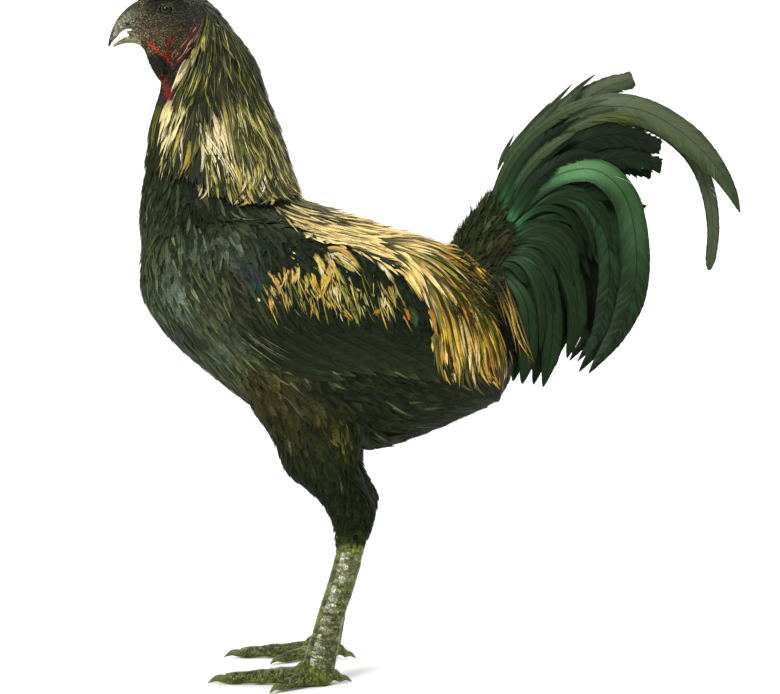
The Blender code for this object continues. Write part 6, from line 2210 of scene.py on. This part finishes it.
# ---- scales of shanks and toes ------------------------------------------------------------------
class Plates:
    """Small domed plates laid on a curved surface, gathered into one piece."""

    def __init__(self):
        self.v, self.q, self.c = [], [], []
        self.base = 0

    def add(self, surface, a0, a1, h0, h1, rise, colour, n=5, overlap=0.0, uneven=None):
        """surface(a, h) gives points and normals; uneven: a seed for a bent, rounded outline."""
        t = np.linspace(0, 1, n)
        A, H = np.meshgrid(a0 + (a1 - a0) * t, h0 + (h1 - h0) * t, indexing="ij")
        if uneven is not None:
            du, dv = uneven.normal(0, 0.13, 2)
            au, av = uneven.normal(0, 0.10, 2)
            P, Q = np.meshgrid(2 * t - 1, 2 * t - 1, indexing="ij")
            r = np.maximum(np.abs(P), np.abs(Q)) / np.maximum(np.hypot(P, Q), 1e-6)
            pull = 0.55 + 0.45 * np.where(np.hypot(P, Q) > 0.01, r, 1.0)
            A = (a0 + a1) / 2 + (a1 - a0) / 2 * (P * pull * 1.12 + du + au * Q)
            H = (h0 + h1) / 2 + (h1 - h0) / 2 * (Q * pull * 1.12 + dv + av * P)
        p, nor = surface(A.ravel(), H.ravel())
        x = np.abs(np.meshgrid(2 * t - 1, 2 * t - 1, indexing="ij")[0]).ravel()
        y_ = np.meshgrid(2 * t - 1, 2 * t - 1, indexing="ij")[1].ravel()
        y = np.abs(y_)
        dome = (1 - x**4) * (1 - y**4)
        lip = overlap * (y_ + 1) / 2
        up = rise * (dome ** 0.5) + lip * (1 - x**4) - 0.0003 * (dome <= 0)
        p = p + nor * up[:, None]
        idx = np.arange(n * n).reshape(n, n) + self.base
        self.q.append(np.stack([idx[:-1, :-1], idx[1:, :-1], idx[1:, 1:], idx[:-1, 1:]], -1).reshape(-1, 4))
        self.v.append(p)
        self.c.append(np.tile(colour, (n * n, 1)))
        self.base += n * n

    def build(self, name, look, slot):
        me = quick_mesh(name, np.vstack(self.v), np.vstack(self.q))
        point_colours(me, "Col", np.vstack(self.c))
        print(name, len(me.polygons) * 2, "triangles")
        return link(name, me, look)


SCALE_TONES = [srgb(84, 94, 34), srgb(70, 80, 28), srgb(104, 110, 52), srgb(56, 64, 22), srgb(118, 122, 70)]


def scale_tone(rng, from_front=None):
    """One scale's colour; a painted highlight makes it paler along the middle of the shank's sides, where the key
    light's reflection runs.
    """
    tone = SCALE_TONES[rng.integers(5)] * rng.uniform(0.62, 1.08)
    if from_front is not None:
        # painted highlight: scales near this angle are whitened, standing in for the key light's reflection down the
        # shank
        pale = math.exp(-(((abs(from_front) - 1.20 - rng.normal(0, 0.12)) / 0.34) ** 2)) * rng.random() ** 1.1
        tone = mix(tone, srgb(216, 216, 192), pale * 0.85)
    return tone



for name, side in SIDES.items():
    rng = np.random.default_rng(400 + side)
    plates = Plates()
    rows = shank_rows(name, side, 80)
    height = np.linspace(0, 1, 80)

    def shank_surface(a, h, rows=rows):
        row = np.stack([np.interp(h, height, rows[:, c]) for c in range(4)], 1)
        along = np.gradient(rows[:, :3], axis=0)
        along = unit(np.stack([np.interp(h, height, along[:, c]) for c in range(3)], 1))
        fore = np.cross(np.tile([0, 1.0, 0], (len(h), 1)), along)
        wide = SHANK_WIDE / 1000 * (1.0 + 0.18 * h**4 + 0.12 * (1 - h) ** 4)
        c, s = np.cos(a), np.sin(a)
        ca = np.sign(c) * np.abs(c) ** (2 / 2.2)
        sa = np.sign(s) * np.abs(s) ** (2 / 2.2)
        # fore points forward (-X) when ca > 0 after the sign below
        p = row[:, :3] + fore * (ca * row[:, 3])[:, None] + np.array([0, 1.0, 0]) * (sa * wide)[:, None]
        nor = unit(fore * (c / row[:, 3])[:, None] + np.array([0, 1.0, 0]) * (s / wide)[:, None])
        return p, nor

    test, _ = shank_surface(np.array([0.0]), np.array([0.5]))
    mid = np.array([np.interp(0.5, height, rows[:, c]) for c in range(3)])
    front = 0.0 if test[0, 0] < mid[0] else math.pi
    # two rows of tall plates in front, two behind, small ones between
    rings = 26
    for k in range(rings):
        h0, h1 = 0.10 + 0.86 * k / rings, 0.10 + 0.86 * (k + 1.16) / rings
        for a0, a1, off in ((-0.95, -0.02, 0.0), (0.02, 0.95, 0.5)):
            o = off * 0.86 / rings
            plates.add(shank_surface, front + a0, front + a1, h0 + o, h1 + o, 0.00050, scale_tone(rng), 6, 0.0003, rng)
        for a0, a1, off in ((math.pi - 0.75, math.pi - 0.02, 0.3), (math.pi + 0.02, math.pi + 0.75, 0.8)):
            o = off * 0.86 / rings
            plates.add(shank_surface, front + a0, front + a1, h0 + o, h1 + o, 0.00040, scale_tone(rng), 5, 0.0002, rng)
        for base in (0.95, -2.39):
            for c in range(4):
                w = 1.44 / 4
                for half in (0, 1):
                    hh = h0 + (half * 0.5 + (c % 2) * 0.25) * 0.86 / rings
                    wide_, tall = rng.uniform(0.9, 1.5), rng.uniform(0.9, 1.6)
                    mid_a = base + (c + 0.5) * w
                    plates.add(
                        shank_surface, front + mid_a - w * 0.5 * wide_, front + mid_a + w * 0.5 * wide_, hh, hh + 0.50 * tall * 0.86 / rings,
                        0.00045 * rng.uniform(0.8, 1.3), scale_tone(rng, mid_a), 5, 0.0001, rng,
                    )
    # toes: a band of scutes across the top of each
    for toe in TOES:
        points, radii, ahead, ankle = toe_line(toe, name, side)
        p_, r_ = toe_bulges(points, radii, toe)
        path = np.hstack([p_, r_[:, None]])
        hs = np.linspace(0, 1, len(path))

        def toe_surface(a, h, path=path, hs=hs):
            row = np.stack([np.interp(h, hs, path[:, c]) for c in range(4)], 1)
            along = np.gradient(path[:, :3], axis=0)
            along = unit(np.stack([np.interp(h, hs, along[:, c]) for c in range(3)], 1))
            across = unit(np.cross(np.tile([0, 0, 1.0], (len(h), 1)), along))
            up = np.cross(along, across)
            nor = up * np.cos(a)[:, None] + across * np.sin(a)[:, None]
            p = row[:, :3] + nor * row[:, 3:4]
            p[:, 2] = np.maximum(p[:, 2], 0.0004)
            return p, nor

        size = np.linalg.norm(path[-1, :3] - path[0, :3])
        count = max(int(size / 0.0038), 5)
        for k in range(count):
            h0, h1 = 0.10 + 0.88 * k / count, 0.10 + 0.88 * (k + 1.2) / count
            plates.add(toe_surface, -0.85, 0.85, h0, min(h1, 1.0), 0.00045, scale_tone(rng), 6, 0.0003, rng)
            for a0 in (0.88, -1.56):
                for half in (0, 1):
                    plates.add(
                        toe_surface, a0, a0 + 0.34, h0 + half * 0.44 / count, h0 + (half + 1.15) * 0.44 / count, 0.00035,
                        scale_tone(rng), 4, 0.0, rng,
                    )
                    plates.add(
                        toe_surface, a0 + 0.34, a0 + 0.68, h0 + (half + 0.5) * 0.44 / count, h0 + (half + 1.6) * 0.44 / count, 0.00035,
                        scale_tone(rng), 4, 0.0, rng,
                    )
    plates.build("scales_" + name, SCALE_LOOK, "shank_scale")

# ---- floor, light, camera -----------------------------------------------------------------------
floor_mat, tree, bsdf = new_material("floor_white")
bsdf.inputs["Base Color"].default_value = (0.92, 0.92, 0.92, 1)
bsdf.inputs["Roughness"].default_value = 0.9
bsdf.inputs["Specular IOR Level"].default_value = 0.1
profile = [(-3.5, 0.0), (1.6, 0.0)]
for a in np.linspace(0, math.pi / 2, 14)[1:]:
    profile.append((1.6 + 1.2 * math.sin(a), 1.2 - 1.2 * math.cos(a)))
profile.append((2.8, 4.5))
verts, quads = [], []
for x in (-6.0, 6.0):
    verts += [(x, y, z) for y, z in profile]
m = len(profile)
for i in range(m - 1):
    quads.append((i, i + 1, m + i + 1, m + i))
floor_mesh = quick_mesh("floor", np.array(verts), np.array(quads))
floor_obj = link("floor", floor_mesh, floor_mat, ride=False)

world = bpy.data.worlds.new("studio")
bpy.context.scene.world = world
world.use_nodes = True
world.node_tree.nodes["Background"].inputs["Color"].default_value = (1, 1, 1, 1)
world.node_tree.nodes["Background"].inputs["Strength"].default_value = 0.62


def area_light(name, place, aim, size, power, colour=(1, 1, 1)):
    data = bpy.data.lights.new(name, "AREA")
    data.shape = "DISK"
    data.size = size
    data.energy = power
    data.color = colour
    ob = bpy.data.objects.new(name, data)
    bpy.context.scene.collection.objects.link(ob)
    ob.location = place
    ob.rotation_euler = (Vector(aim) - Vector(place)).to_track_quat("-Z", "Y").to_euler()
    return ob


area_light("key", (-0.9, -1.9, 1.9), (0, 0, 0.42), 0.9, 62)
area_light("top", (0.3, 0.2, 2.3), (0, 0, 0.4), 1.0, 26)
area_light("rim", (1.8, 1.2, 1.3), (0.1, 0, 0.4), 0.8, 22)
area_light("backdrop", (0, 1.0, 3.4), (0, 2.7, 1.1), 2.0, 60)

camera = bpy.data.cameras.new("camera")
camera_ob = bpy.data.objects.new("camera", camera)
bpy.context.scene.collection.objects.link(camera_ob)
camera.sensor_width = 36.0
camera.lens = VIEW_DISTANCE / UNIT * 36.0 / 780.0
camera_ob.location = ((SIGHT_U - ORIGIN_U) * UNIT, -VIEW_DISTANCE, (FLOOR_V - SIGHT_V) * UNIT)
camera_ob.rotation_euler = (math.radians(90), 0, 0)
camera.clip_end = 30
bpy.context.scene.camera = camera_ob
bpy.context.scene.view_settings.view_transform = "Standard"
bpy.context.scene.view_settings.look = "None"
